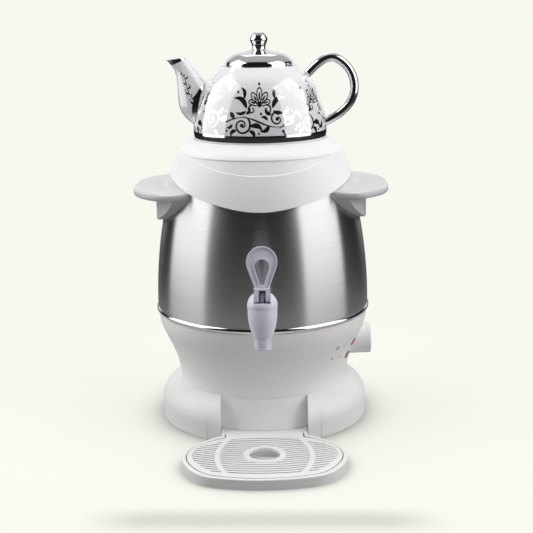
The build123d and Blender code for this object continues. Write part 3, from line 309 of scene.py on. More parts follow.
@dataclass(frozen=True)
class Metal:
    """A plain metal, polished or dull, with faint marks from its making."""

    name: str
    colour: Colour
    roughness: float
    marks_mm: float = 0.003
    marks_per_m: float = 500.0
    tone_per_m: float = 40.0
    tint: float = 0.04
    spread_share: float = 0.3

    def material(self) -> bpy.types.Material:
        """Tone and gloss from a slow noise, relief from a finer one.

        Returns:
            The material.
        """
        make = NodeMaterial(self.name)
        slow = make.noise((self.tone_per_m,) * 3, 2.0)
        fine = make.noise((self.marks_per_m,) * 3, 3.0)
        spread = self.roughness * self.spread_share
        make.shade(
            Base_Color=make.tinted(self.colour, slow, self.tint),
            Metallic=1.0,
            Roughness=make.between(slow, self.roughness - spread, self.roughness + spread),
        )
        make.relief(fine, self.marks_mm)
        return make.material


@dataclass(frozen=True)
class Glaze:
    """White porcelain glaze: glossy, a little uneven, as fired glaze is."""

    name: str
    colour: Colour
    roughness: float = 0.07
    pool_per_m: float = 28.0
    pool_mm: float = 0.05
    tint: float = 0.015
    spread: float = 0.05

    def material(self) -> bpy.types.Material:
        """A slow noise pools the glaze, and a clear coat gives it its depth.

        Returns:
            The material.
        """
        make = NodeMaterial(self.name)
        pool = make.noise((self.pool_per_m,) * 3, 2.0)
        make.shade(
            Base_Color=make.tinted(self.colour, pool, self.tint),
            Roughness=make.between(pool, self.roughness, self.roughness + self.spread),
            Specular_IOR_Level=0.6,
            Coat_Weight=1.0,
            Coat_Roughness=0.03,
            Coat_IOR=1.7,
        )
        make.relief(pool, self.pool_mm)
        return make.material


@dataclass(frozen=True)
class Clear:
    """A translucent piece, such as a lens, a bulb or a silicone ring."""

    name: str
    colour: Colour
    roughness: float
    passing: float
    grain_per_m: float = 600.0
    grain_mm: float = 0.004
    tint: float = 0.05
    spread_share: float = 0.2

    def material(self) -> bpy.types.Material:
        """Part of the light passes through, and a fine noise gives the rest its gloss.

        Returns:
            The material.
        """
        make = NodeMaterial(self.name)
        fine = make.noise((self.grain_per_m,) * 3, 2.0)
        spread = self.roughness * self.spread_share
        make.shade(
            Base_Color=make.tinted(self.colour, fine, self.tint),
            Roughness=make.between(fine, self.roughness - spread, self.roughness + spread),
            Transmission_Weight=self.passing,
            IOR=1.5,
        )
        make.relief(fine, self.grain_mm)
        return make.material


Finish = Plastic | Brushed | Metal | Glaze | Clear

WHITE_PLASTIC = Plastic("bright_white_plastic", (0.88, 0.88, 0.88), 0.38)
TRAY_PLASTIC = Plastic("tray_white_plastic", (0.76, 0.76, 0.75), 0.42)
BASE_PLASTIC = Plastic("base_white_plastic", (0.81, 0.81, 0.805), 0.40)
HOUSING_PLASTIC = Plastic("warm_white_plastic", (0.86, 0.85, 0.84), 0.42)
# The handles' white: partly their own slightly cooler, darker tone, and mostly painted shade that offsets the
# strong top lamp on their tops.
HANDLE_PLASTIC_SHADED = Plastic("handle_plastic_painted_shade", (0.60, 0.61, 0.62), 0.36)
TAP_PLASTIC = Plastic("tap_white_plastic", (0.72, 0.72, 0.82), 0.24, 0.004)
# Black plastic; also laid as painted shade in the screws' cross recesses.
BLACK_PLASTIC_AND_SHADE = Plastic("black_plastic", (0.02, 0.02, 0.022), 0.45)
RUBBER = Plastic("black_rubber", (0.03, 0.03, 0.03), 0.75, 0.02)
INK = Plastic("printed_ink", (0.06, 0.06, 0.065), 0.5, 0.002)
TANK_STEEL = Brushed("brushed_steel", (0.60, 0.595, 0.59))
BEAD_STEEL = Metal("polished_steel", (0.72, 0.72, 0.72), 0.10, 0.001)
SILVER = Metal("silver_lustre", (0.74, 0.745, 0.77), 0.09, 0.004, 160.0)
ZINC = Metal("zinc_plate", (0.62, 0.63, 0.65), 0.32)
SPRING = Metal("spring_steel", (0.50, 0.50, 0.50), 0.22)
ALUMINIUM = Metal("cast_aluminium", (0.66, 0.66, 0.67), 0.5, 0.02)
PORCELAIN = Glaze("white_glaze", (0.85, 0.85, 0.88))
RED_LENS = Clear("red_lens", (0.55, 0.015, 0.03), 0.12, 0.25)
DIM_LENS = Clear("dim_red_lens", (0.42, 0.10, 0.10), 0.16, 0.35)
NEON = Clear("neon_glass", (0.85, 0.70, 0.62), 0.08, 0.6)
SILICONE = Clear("white_silicone", (0.82, 0.82, 0.80), 0.45, 0.25)


# ---------------------------------------------------------------- surfaces


def turned(line: np.ndarray, steps: int = 256) -> np.ndarray:
    """Carries a line round Z: a point is radius times the cosine and sine of the angle, and its height.

    Args:
        line: one row (radius, height) for each point.
        steps: how many columns there are in a full turn.

    Returns:
        A grid whose rows follow the line and whose columns go round.
    """
    angle = np.linspace(0.0, 2 * np.pi, steps, endpoint=False)
    radius, height = line[:, :1], line[:, 1:]
    return np.stack([radius * np.cos(angle), radius * np.sin(angle), height + 0 * angle], axis=-1)


def quads(rows: int, columns: int, close_rows: bool, close_columns: bool) -> np.ndarray:
    """The faces of a grid, which may be closed either way.

    Args:
        rows: how many rows the grid has.
        columns: how many columns it has.
        close_rows: whether the last row joins the first.
        close_columns: whether the last column joins the first.

    Returns:
        One row of four corner numbers for each face.
    """
    index = np.arange(rows * columns).reshape(rows, columns)
    index = np.concatenate([index, index[:1]]) if close_rows else index
    index = np.concatenate([index, index[:, :1]], axis=1) if close_columns else index
    return np.stack([index[:-1, :-1], index[:-1, 1:], index[1:, 1:], index[1:, :-1]], axis=-1).reshape(-1, 4)


def tidy(mesh: bpy.types.Mesh) -> None:
    """Merges a mesh's doubled points and turns its faces outwards.

    Args:
        mesh: the mesh.
    """
    work = bmesh.new()
    work.from_mesh(mesh)
    bmesh.ops.remove_doubles(work, verts=work.verts, dist=1e-7)
    bmesh.ops.recalc_face_normals(work, faces=work.faces)
    work.to_mesh(mesh)
    work.free()
    mesh.shade_smooth()
    mesh.set_sharp_from_angle(angle=math.radians(38.0))


def piece(name: str, grids: Sequence[np.ndarray], close_rows: bool = False,
          close_columns: bool = False) -> bpy.types.Object:
    """Makes one object of grids that are all closed the same way.

    Args:
        name: the piece's name.
        grids: the grids of points, in metres.
        close_rows: whether the last row joins the first.
        close_columns: whether the last column joins the first.

    Returns:
        The object, with its place in its mesh.
    """
    faces, start = [], 0
    for grid in grids:
        faces.append(quads(*grid.shape[:2], close_rows, close_columns) + start)
        start += grid.shape[0] * grid.shape[1]
    mesh = bpy.data.meshes.new(name)
    points = np.concatenate([grid.reshape(-1, 3) for grid in grids])
    mesh.from_pydata(points.tolist(), [], np.concatenate(faces).tolist())
    tidy(mesh)
    made = bpy.data.objects.new(name, mesh)
    bpy.context.scene.collection.objects.link(made)
    return made


def wrap_uv(made: bpy.types.Object, height: float) -> None:
    """Gives a turned piece its own UV map: the share of a turn, and the share of a height.

    Args:
        made: the piece, round about Z.
        height: the height that counts as one, in metres.
    """
    mesh = made.data
    corner = np.empty(len(mesh.loops), np.int32)
    mesh.loops.foreach_get("vertex_index", corner)
    points = np.empty(len(mesh.vertices) * 3)
    mesh.vertices.foreach_get("co", points)
    points = points.reshape(-1, 3)[corner]
    turn = np.arctan2(points[:, 1], points[:, 0]) / (2 * np.pi) % 1.0
    first = np.empty(len(mesh.polygons), np.int32)
    mesh.polygons.foreach_get("loop_start", first)
    count = np.empty(len(mesh.polygons), np.int32)
    mesh.polygons.foreach_get("loop_total", count)
    top = np.repeat(np.maximum.reduceat(turn, first), count)
    turn = np.where(top - turn > 0.5, turn + 1.0, turn)
    layer = mesh.uv_layers.new(name="UVMap")
    layer.data.foreach_set("uv", np.stack([turn, points[:, 2] / height], axis=-1).ravel())


def settle(made: bpy.types.Object) -> None:
    """Puts what a piece's modifiers make into its mesh, and turns its faces outwards.

    Args:
        made: the piece.
    """
    bpy.context.view_layer.update()
    graph = bpy.context.evaluated_depsgraph_get()
    mesh = bpy.data.meshes.new_from_object(made.evaluated_get(graph))
    made.modifiers.clear()
    made.data = mesh
    tidy(mesh)


def film(name: str, sheets: Sequence[np.ndarray], ground: bpy.types.Object, close_columns: bool = False,
         lift_mm: float = 0.06, thick_mm: float = 0.08) -> bpy.types.Object:
    """Lays thin sheets on a node's skin: each point goes to the nearest point of the skin, and above it.

    Args:
        name: the piece's name.
        sheets: grids of points near the skin.
        ground: the node that carries them.
        close_columns: whether each grid's last column joins its first.
        lift_mm: the height of the sheets' middle above the skin.
        thick_mm: the sheets' thickness.

    Returns:
        The piece, closed all round.
    """
    made = piece(name, sheets, close_columns=close_columns)
    lay = made.modifiers.new("lay", "SHRINKWRAP")
    lay.target, lay.offset = ground, lift_mm * MM
    lay.wrap_method, lay.wrap_mode = "NEAREST_SURFACEPOINT", "ABOVE_SURFACE"
    body = made.modifiers.new("body", "SOLIDIFY")
    body.thickness, body.offset = thick_mm * MM, 0.0
    settle(made)
    return made


def way_at(angle: float) -> np.ndarray:
    """The flat direction at an angle in degrees: its cosine and its sine."""
    return np.array([math.cos(math.radians(angle)), math.sin(math.radians(angle))])


# ---------------------------------------------------------------- ornament strokes

STROKE_STEPS = 26


def ribbon(line: np.ndarray, width: np.ndarray) -> np.ndarray:
    """A flat stroke: each point of a line, and half the width to either side of it, square to the line.

    Args:
        line: one row for each point of the line.
        width: the width at each point.

    Returns:
        The stroke's grid, three points across.
    """
    along = np.gradient(line, axis=0)
    along = along / np.linalg.norm(along, axis=1, keepdims=True)
    side = np.stack([-along[:, 1], along[:, 0]], axis=1) * width[:, None] / 2
    return np.stack([line + side, line, line - side], axis=1)


def curl(centre: Sequence[float], radius: float, start: float, turns: float, width: float) -> np.ndarray:
    """A spiral stroke: the radius shrinks to a fifth and the width to a half as it winds in.

    Args:
        centre: its middle in the flat pattern, in millimetres.
        radius: the radius where it starts.
        start: the angle where it starts, in degrees.
        turns: how many turns it winds, less than nought for clockwise.
        width: the width where it starts.

    Returns:
        The stroke's grid.
    """
    share = np.linspace(0.0, 1.0, STROKE_STEPS)
    angle = math.radians(start) + 2 * np.pi * turns * share**0.85
    reach = radius * (1 - 0.8 * share)
    line = np.array(centre) + np.stack([reach * np.cos(angle), reach * np.sin(angle)], axis=1)
    return ribbon(line, width * (1 - 0.5 * share) * np.clip(share * 12, 0.15, 1.0))


def leaf(root: Sequence[float], heading: float, length: float, bow: float, width: float) -> np.ndarray:
    """A pointed leaf: a line that bows as a sine of its share, widest at two fifths of its length.

    Args:
        root: where it starts in the flat pattern, in millimetres.
        heading: its direction in degrees.
        length: its length.
        bow: how far its middle stands off to the left.
        width: its greatest width.

    Returns:
        The stroke's grid.
    """
    share = np.linspace(0.0, 1.0, STROKE_STEPS)
    way = way_at(heading)
    left = np.array([-way[1], way[0]])
    line = np.array(root) + length * share[:, None] * way + bow * np.sin(np.pi * share)[:, None] * left
    return ribbon(line, width * np.sin(np.pi * share**0.75) ** 0.8 + 0.05)


def petal(root: Sequence[float], heading: float, length: float, half: float, width: float) -> np.ndarray:
    """A petal drawn as an outline.

    A point lies out by half the length times one less a cosine, and across by the half width times the
    sine, wider the further out it lies.

    Args:
        root: where it starts in the flat pattern, in millimetres.
        heading: its direction in degrees.
        length: its length.
        half: half its width, but for the widening.
        width: the outline's width.

    Returns:
        The stroke's grid.
    """
    turn = np.linspace(0.0, 2 * np.pi, STROKE_STEPS)
    way = way_at(heading)
    left = np.array([-way[1], way[0]])
    out = length * (1 - np.cos(turn)) / 2
    across = half * np.sin(turn) * (0.55 + 0.9 * out / length)
    line = np.array(root) + out[:, None] * way + across[:, None] * left
    return ribbon(line, width * (0.7 + 0.5 * out / length))


def berry(centre: Sequence[float], radius: float) -> np.ndarray:
    """A round dot: a short line as wide at each point as the circle is.

    Args:
        centre: its middle in the flat pattern, in millimetres.
        radius: its radius.

    Returns:
        The stroke's grid.
    """
    angle = np.linspace(0.0, np.pi, STROKE_STEPS)
    line = np.array(centre) + np.stack([-radius * np.cos(angle), 0 * angle], axis=1)
    return ribbon(line, 2 * radius * np.sin(angle) + 0.02)


def mirrored(stroke: np.ndarray) -> np.ndarray:
    """The same stroke on the other side of the pattern's upright middle."""
    return stroke[:, ::-1] * np.array([-1.0, 1.0])


# ---------------------------------------------------------------- the samovar's pieces


class Body(Enum):
    """The moving bodies that new pieces ride on."""

    HOUSING = "housing"
    POT = "teapot_pot"


class Bench:
    """The loaded model on the work bench, with one material for each finish."""

    def __init__(self, frame: dict) -> None:
        """Keeps the model's nodes."""
        self.nodes: dict[str, bpy.types.Object] = frame["nodes"]
        self.materials: dict[str, bpy.types.Material] = {}

    def material(self, finish: Finish) -> bpy.types.Material:
        """The finish's material, made when it is first asked for.

        Args:
            finish: the finish.

        Returns:
            The material.
        """
        if finish.name not in self.materials:
            self.materials[finish.name] = finish.material()
        return self.materials[finish.name]

    def dress(self, finish: Finish, *names: str) -> None:
        """Gives nodes of the model a finish.

        Args:
            finish: the finish.
            names: the nodes' names.
        """
        for name in names:
            for slot in self.nodes[name].material_slots:
                slot.material = self.material(finish)
            log.info("dressed %s in %s", name, finish.name)

    def add(self, made: bpy.types.Object, body: Body, finish: Finish, slot: str,
            stands_for: Sequence[str] = ()) -> None:
        """Puts a new piece into the model.

        Args:
            made: the piece.
            body: the moving body that it rides on.
            finish: its finish.
            slot: not used.
            stands_for: the nodes that it stands for.
        """
        made.data.materials.clear()
        made.data.materials.append(self.material(finish))
        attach(made, body.value)
        if stands_for:
            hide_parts(*stands_for)
        log.info("made %s, %d faces", made.name, len(made.data.polygons))


@dataclass(frozen=True)
class Assembly:
    """A sub-assembly, with the bench that it is finished on."""

    bench: Bench


@dataclass(frozen=True)
class Base(Assembly):
    """The base: its housing, cover, feet, screws and what is wired inside. Sizes in millimetres."""

    screw_circle: float = 92.0
    screw_angles: tuple[float, ...] = (20.0, 160.0, 215.0, 325.0)
    screw_head_face: float = 2.7
    cross_reach: float = 1.9
    cross_width: float = 0.75
    cross_thickness: float = 0.06

    def crosses(self) -> bpy.types.Object:
        """Painted shade of the drive crosses in the screw heads: two thin black bars across each head, drawn
        in at their ends.

        Returns:
            The crosses' painted shade as one piece.
        """
        share = np.linspace(-1.0, 1.0, 9)
        half = self.cross_width / 2 * (1 - 0.6 * np.abs(share) ** 3)
        flat = np.stack([
            np.stack([share * self.cross_reach, -half], axis=1),
            np.stack([share * self.cross_reach, half], axis=1),
        ], axis=1)
        grids = []
        for angle in self.screw_angles:
            for bar in (flat, flat[..., ::-1]):
                place = bar + self.screw_circle * way_at(angle)
                face = np.full(bar.shape[:2] + (1,), self.screw_head_face - self.cross_thickness / 2)
                low = np.concatenate([place, face], axis=2)
                high = low + np.array([0.0, 0.0, self.cross_thickness])
                grids.append(np.concatenate([low, high[:, ::-1]], axis=1) * MM)
        return piece("base_screw_cross_shade", grids, close_columns=True)

    def build(self) -> None:
        """Dresses the base's nodes and adds the crosses' painted shade."""
        self.bench.dress(BASE_PLASTIC, "base_housing")
        self.bench.dress(HOUSING_PLASTIC, "base_cover")
        self.bench.dress(RUBBER, "rubber_feet", "cord_gland")
        self.bench.dress(ZINC, "base_screws")
        self.bench.dress(BLACK_PLASTIC_AND_SHADE, "terminal_block")
        # thin black bars as painted shade in the screws' cross recesses
        self.bench.add(self.crosses(), Body.HOUSING, BLACK_PLASTIC_AND_SHADE, "black_plastic")


@dataclass(frozen=True)
class LowerHousing(Assembly):
    """The lower housing with its lamps, marks and knob. Sizes in millimetres.

    A mark's place is its angle from the front in degrees, and its height.
    """

    print_radius: float = 105.0
    angle_radius: float = 104.0
    waves: tuple[float, float] = (48.0, 90.5)
    wave_spacing: float = 1.7
    wave_length: float = 5.2
    wave_depth: float = 0.45
    waves_leader: tuple[float, float] = (57.0, 89.6)
    ring: tuple[float, float] = (46.0, 76.5)
    ring_length: float = 3.4
    ring_half: float = 1.4
    ring_leader: tuple[float, float] = (54.5, 75.6)
    leader_length: float = 9.0
    leader_drop: float = 0.8
    leader_width: float = 0.45
    mark_width: float = 0.55

    def marks(self) -> bpy.types.Object:
        """Plain marks beside the lamps: waves for heating and a ring for keeping warm, with leader lines.

        Returns:
            The marks as one piece.
        """
        steps = np.linspace(0.0, 1.0, STROKE_STEPS)
        even = np.ones(STROKE_STEPS)
        leader = np.stack([self.leader_length * (steps - 0.5), -self.leader_drop * steps], axis=1)
        leader = ribbon(leader, self.leader_width * even)
        flat = []
        for level in (-1, 0, 1):
            height = self.wave_spacing * level + self.wave_depth * np.sin(4 * np.pi * steps)
            wave = np.stack([self.wave_length * (steps - 0.5), height], axis=1)
            flat.append((self.waves, ribbon(wave, self.mark_width * even)))
        flat.append((self.waves_leader, leader))
        root = (-self.ring_length / 2, 0.0)
        flat.append((self.ring, petal(root, 0.0, self.ring_length, self.ring_half, self.mark_width)))
        flat.append((self.ring_leader, leader))
        sheets = []
        for (azimuth, height), stroke in flat:
            angle = math.radians(azimuth) + stroke[..., 0] / self.angle_radius
            x, y = self.print_radius * np.sin(angle), -self.print_radius * np.cos(angle)
            sheets.append(np.stack([x, y, height + stroke[..., 1]], axis=-1) * MM)
        return film("lamp_marks", sheets, self.bench.nodes["lower_housing"], lift_mm=0.03, thick_mm=0.05)

    def build(self) -> None:
        """Dresses the housing's nodes and prints the marks."""
        self.bench.dress(HOUSING_PLASTIC, "lower_housing")
        self.bench.dress(WHITE_PLASTIC, "thermostat_knob")
        self.bench.dress(RED_LENS, "lamp_lens_heating")
        self.bench.dress(DIM_LENS, "lamp_lens_keep_warm")
        self.bench.dress(NEON, "lamp_bulbs")
        self.bench.dress(ZINC, "housing_screws", "thermostat", "thermostat_shaft")
        self.bench.add(self.marks(), Body.HOUSING, INK, "black_plastic")


@dataclass(frozen=True)
class Tank(Assembly):
    """The steel tank, its polished bead, and what heats and holds it. Sizes in millimetres."""

    foot_radius: float = 114.8
    foot: float = 126.6
    shoulder_radius: float = 96.6
    shoulder: float = 261.5
    wall: float = 0.8
    rim: Line = (
        (94.9, 263.2), (93.1, 264.7), (91.0, 265.0), (86.0, 265.0),
        (86.0, 264.2), (92.6, 264.2), (94.4, 262.8),
    )
    hem: Line = (
        (114.0, 126.6), (111.6, 126.4), (111.6, 119.7),
        (112.4, 119.7), (112.4, 126.2), (114.8, 126.2),
    )
    bead_radius: float = 113.6
    bead_bore: float = 112.5
    bead_bulge: float = 2.4
    bead_foot: float = 119.4
    bead_top: float = 126.2

    def side(self, inset: float, steps: int = 40) -> np.ndarray:
        """The bowed side from foot to shoulder: an arc that starts upright, moved in by a distance.

        The arc's radius is the rise squared and the draw squared, added, over twice the draw.

        Args:
            inset: the distance that it is moved in by.
            steps: how many points it has.

        Returns:
            One row (radius, height) for each point, from the foot up.
        """
        rise, draw = self.shoulder - self.foot, self.foot_radius - self.shoulder_radius
        radius = (rise**2 + draw**2) / (2 * draw)
        turn = np.linspace(0.0, math.asin(rise / radius), steps)
        middle = self.foot_radius - radius
        reach = radius - inset
        return np.stack([middle + reach * np.cos(turn), self.foot + reach * np.sin(turn)], axis=1)

    def wall_piece(self) -> bpy.types.Object:
        """The wall: up the outer side, over the rim, down the inner side and round the stepped hem.

        Returns:
            The wall, with its UV map.
        """
        line = np.concatenate([self.side(0.0), self.rim, self.side(self.wall)[::-1], self.hem])
        made = piece("tank_wall_brushed", [turned(line * MM)], close_rows=True, close_columns=True)
        wrap_uv(made, (self.shoulder - self.foot) * MM)
        return made

    def bead_piece(self) -> bpy.types.Object:
        """The bead: its outside is half a sine between its edges, and its inside is straight.

        Returns:
            The bead.
        """
        share = np.linspace(0.0, 1.0, 25)
        height = self.bead_foot + (self.bead_top - self.bead_foot) * share
        radius = self.bead_radius + self.bead_bulge * np.sin(np.pi * share) ** 0.8
        inside = [(self.bead_bore, self.bead_top), (self.bead_bore, self.bead_foot)]
        line = np.concatenate([np.stack([radius, height], axis=1), inside])
        return piece("tank_bead", [turned(line * MM)], close_rows=True, close_columns=True)

    def build(self) -> None:
        """Dresses the tank's nodes, and stands the brushed wall and the bead in for theirs."""
        self.bench.dress(ALUMINIUM, "heat_plate")
        self.bench.dress(ZINC, "heating_element", "thermal_cutout", "sensor_bulb")
        self.bench.dress(ZINC, "tie_rod", "tie_strap", "tie_nut", "strap_screws")
        self.bench.dress(SPRING, "sensor_clip")
        self.bench.dress(BEAD_STEEL, "tank_floor")
        self.bench.add(self.wall_piece(), Body.HOUSING, TANK_STEEL, "brushed_steel", ["tank_wall"])
        self.bench.add(self.bead_piece(), Body.HOUSING, BEAD_STEEL, "polished_steel", ["trim_ring"])


@dataclass(frozen=True)
class Handles(Assembly):
    """The two wing handles with their screws and sealing washers."""

    def build(self) -> None:
        """Dresses the handles' nodes."""
        # the handles' finish carries painted shade against the top lamp
        self.bench.dress(HANDLE_PLASTIC_SHADED, "right_handle", "left_handle")
        self.bench.dress(ZINC, "handle_screws")
        self.bench.dress(SILICONE, "handle_washers")


@dataclass(frozen=True)
class Collar(Assembly):
    """The lift-off collar that carries the teapot."""

    def build(self) -> None:
        """Dresses the collar."""
        self.bench.dress(WHITE_PLASTIC, "collar")


@dataclass(frozen=True)
class Teapot(Assembly):
    """The porcelain teapot, with silver bands, ear, spout and friezes. Sizes in millimetres.

    Heights in its lines, sections and strokes are over its foot.
    """

    foot: float = 304.9
    belly_radius: float = 70.6
    repeats: int = 6
    ear_clear: float = 8.0
    spout_clear: float = 3.0
    root_foot: float = 13.0
    root_top: float = 60.0
    root_band: float = 6.5
    wave_height: float = 23.0
    wave_depth: float = 5.0
    foot_band: Line = ((69.9, 2.4), (70.2, 3.9), (70.4, 5.4), (70.6, 6.9), (70.6, 8.4), (70.5, 9.5))
    lid_band: Line = ((39.4, 75.8), (38.6, 75.9), (37.8, 75.95), (37.0, 76.0))
    root_edge: float = 0.3
    root_inset: float = 0.06
    edge_reach: float = 0.9
    edge_steps: int = 181
    sprig_foot: float = 30.0
    sprig_top: float = 72.0
    sprig_back: float = 5.5
    sprig_sway: float = 1.2
    sprig_leaf: float = 6.5
    sprig_leaf_width: float = 2.4
    sprig_turn: float = 10.0
    sprig_spread: float = 52.0
    sprig_berry: tuple[float, float] = (2.6, -1.2)
    sprig_berry_radius: float = 0.7
    lip_middle: tuple[float, float] = (-87.7, 83.6)
    lip_lean: float = 7.0
    lip_drop: float = 3.6
    lip_slant: float = 2.2
    lip_taper: float = 0.55
    lip_rings: tuple[tuple[float, float, float], ...] = (
        (0.0, 7.9, 4.2),
        (0.0, 9.2, 5.5),
        (0.0, 9.9, 6.2),
        (0.25, 9.9, 6.25),
        (0.6, 9.9, 6.4),
        (1.0, 9.9, 6.5),
    )
    ear_side: float = 30.0
    ear_foot: float = 8.0
    ear_stand: float = 1.2
    ear_silver: float = 0.12
    line: Line = ((70.6, 7.0), (66.2, 35.0), (55.6, 60.4), (45.6, 71.7))
    spout: tuple[tuple[float, ...], ...] = (
        (11.5, -62.0, -30.0, 7.0),
        (16.0, -71.8, -32.0, 11.5),
        (23.0, -79.3, -35.0, 15.5),
        (31.0, -84.2, -38.0, 17.0),
        (42.0, -86.0, -43.0, 16.2),
        (55.0, -86.5, -52.5, 13.2),
        (66.0, -87.4, -61.8, 10.0),
        (74.0, -90.2, -68.8, 7.8),
    )

    def radius(self, height: np.ndarray) -> np.ndarray:
        """The belly's radius at a height over the foot: a cubic through the line's four points."""
        radius, level = np.array(self.line).T
        return np.polyval(np.polyfit(level, radius, 3), np.clip(height, level[0], level[-1]))

    def section(self, height: np.ndarray) -> tuple[np.ndarray, np.ndarray, np.ndarray]:
        """The spout's ellipse at a height, between the sections that it is drawn from.

        Args:
            height: the height over the foot.

        Returns:
            Its middle's X, its reach along X, and its half width.
        """
        level, outer, inner, half = np.array(self.spout).T
        outer, inner, half = (np.interp(height, level, side) for side in (outer, inner, half))
        return (outer + inner) / 2, (inner - outer) / 2, half

    def spout_edge(self, height: np.ndarray) -> np.ndarray:
        """The angle, from the spout's side, at which the belly's circle leaves the spout's ellipse.

        Args:
            height: the height over the foot.

        Returns:
            The angle in radians, nought where they don't meet.
        """
        middle, reach, half = (side[..., None] for side in self.section(height))
        angle = np.linspace(0.0, self.edge_reach, self.edge_steps)
        radius = self.radius(height)[..., None]
        x, y = -radius * np.cos(angle), radius * np.sin(angle)
        inside = (((x - middle) / reach) ** 2 + (y / half) ** 2 < 1.0).sum(axis=-1)
        return angle[inside.clip(0, self.edge_steps - 1)] * (inside > 0)

    def around(self, strokes: np.ndarray) -> np.ndarray:
        """Lays flat strokes round the belly: the angle is the way along over the belly's radius.

        Args:
            strokes: points of the flat pattern: the way along, and the height.

        Returns:
            The points on the belly, in metres.
        """
        angle = strokes[..., 0] / self.belly_radius
        radius, height = self.radius(strokes[..., 1]), self.foot + strokes[..., 1]
        return np.stack([radius * np.cos(angle), radius * np.sin(angle), height], axis=-1) * MM

    def vine(self, cell: float) -> list[np.ndarray]:
        """One repeat of the lower frieze: a wave with a spray under its crest, and the same over its trough.

        Args:
            cell: the repeat's length round the belly.

        Returns:
            The strokes' grids.
        """
        share = np.linspace(0.0, 1.0, STROKE_STEPS)
        height = self.wave_height + self.wave_depth * np.sin(2 * np.pi * share)
        wave = ribbon(np.stack([cell * share, height], axis=1), 1.3 + 0.6 * np.cos(4 * np.pi * share))
        spray = np.stack([
            curl((0.0, -3.0), 9.6, 90.0, -1.45, 2.3),
            berry((-0.2, -3.0), 1.9),
            leaf((9.0, -4.0), -20.0, 13.0, 3.0, 5.0),
            leaf((7.5, -8.2), -55.0, 9.0, 2.2, 4.0),
            leaf((-6.0, -8.0), -135.0, 8.5, -2.2, 3.8),
            leaf((-9.0, 3.0), 150.0, 11.0, -2.6, 4.4),
            leaf((-10.5, -2.0), 205.0, 7.5, 1.6, 3.0),
            leaf((4.0, 8.5), 62.0, 7.5, -1.8, 3.2),
            berry((-17.0, -8.5), 1.3),
            berry((17.5, -11.0), 1.1),
        ])
        under = spray + np.array([cell / 4, self.wave_height])
        over = spray * np.array([1.0, -1.0]) + np.array([cell * 3 / 4, self.wave_height])
        return [wave, *under, *over]

    def palmette(self, cell: float) -> list[np.ndarray]:
        """One repeat of the upper frieze: a fan of five petals on two volutes, with long leaves beside it.

        Args:
            cell: the repeat's length round the belly.

        Returns:
            The strokes' grids.
        """
        heart = (0.0, 40.0)
        half = [
            petal(heart, 54.0, 15.0, 2.5, 1.1),
            petal(heart, 20.0, 12.5, 2.2, 1.1),
            leaf((3.0, 44.4), 54.0, 7.0, 0.0, 1.9),
            leaf((4.6, 41.8), 20.0, 6.0, 0.0, 1.7),
            curl((8.2, 35.8), 5.0, 150.0, -1.2, 1.8),
            leaf((14.0, 37.0), 32.0, 19.0, 4.2, 5.0),
            leaf((17.5, 46.5), 64.0, 12.0, 2.8, 3.8),
            leaf((14.5, 34.5), -6.0, 12.0, -2.2, 3.2),
            berry((25.5, 53.0), 1.3),
            leaf((cell / 2 - 0.4, 53.0), 120.0, 8.0, -1.8, 2.8),
        ]
        middle = [
            petal(heart, 90.0, 17.0, 2.7, 1.15),
            leaf((0.0, 45.0), 90.0, 8.5, 0.0, 2.1),
            berry(heart, 1.9),
            berry((0.0, 60.5), 1.4),
        ]
        return middle + half + [mirrored(stroke) for stroke in half]

    def ornament(self) -> bpy.types.Object:
        """Both friezes round the belly, less the strokes that would meet the spout or the ear.

        Returns:
            The friezes as one piece.
        """
        cell = 2 * math.pi * self.belly_radius / self.repeats
        shift = np.array([cell / 2, 0.0])
        repeat = np.stack(self.vine(cell) + [stroke + shift for stroke in self.palmette(cell)])
        starts = np.arange(self.repeats)[:, None] * np.array([cell, 0.0])
        flat = (repeat + starts[:, None, None, None]).reshape(-1, *repeat.shape[1:])
        angle = (flat[..., 0] / self.belly_radius + math.pi) % (2 * math.pi) - math.pi
        from_ear = np.abs(angle) * self.belly_radius
        from_spout = (math.pi - np.abs(angle) - self.spout_edge(flat[..., 1])) * self.radius(flat[..., 1])
        clear = np.all((from_ear > self.ear_clear) & (from_spout > self.spout_clear), axis=(1, 2))
        return film("teapot_vine", list(self.around(flat[clear])), self.bench.nodes["teapot"])

    def sprig(self) -> bpy.types.Object:
        """A sprig up each side of the spout: a stem on the middle of the sections, with leaves in turn.

        Returns:
            Both sprigs as one piece.
        """
        height = np.linspace(self.sprig_foot, self.sprig_top, STROKE_STEPS)
        share = np.linspace(0.0, 1.0, STROKE_STEPS)
        middle = self.section(height)[0] - self.sprig_back
        stem = np.stack([middle + self.sprig_sway * np.sin(3 * np.pi * share), height], axis=1)
        strokes = [ribbon(stem, 1.0 - 0.5 * share)]
        for number, step in enumerate(range(2, 24, 3)):
            side = 1.0 if number % 2 else -1.0
            smaller = 1 - 0.4 * share[step]
            length, width = self.sprig_leaf * smaller, self.sprig_leaf_width - share[step]
            heading = 90.0 + self.sprig_turn + self.sprig_spread * side
            strokes.append(leaf(stem[step], heading, length, side, width))
            place = stem[step] + np.array(self.sprig_berry) * (side, 1.0)
            strokes.append(berry(place, self.sprig_berry_radius))
        flat = np.stack(strokes)
        x, y, z = flat[..., 0], self.section(flat[..., 1])[2], flat[..., 1] + self.foot
        sheets = np.concatenate([np.stack([x, side * y, z], axis=-1) * MM for side in (-1.0, 1.0)])
        return film("spout_sprigs", list(sheets), self.bench.nodes["teapot"])

    def bands(self) -> bpy.types.Object:
        """Silver round the foot and round the shoulder under the lid.

        Returns:
            Both bands as one piece.
        """
        over_foot = np.array([0.0, self.foot])
        sheets = [turned((np.array(line) + over_foot) * MM, 180) for line in (self.foot_band, self.lid_band)]
        return film("teapot_bands", sheets, self.bench.nodes["teapot"], close_columns=True)

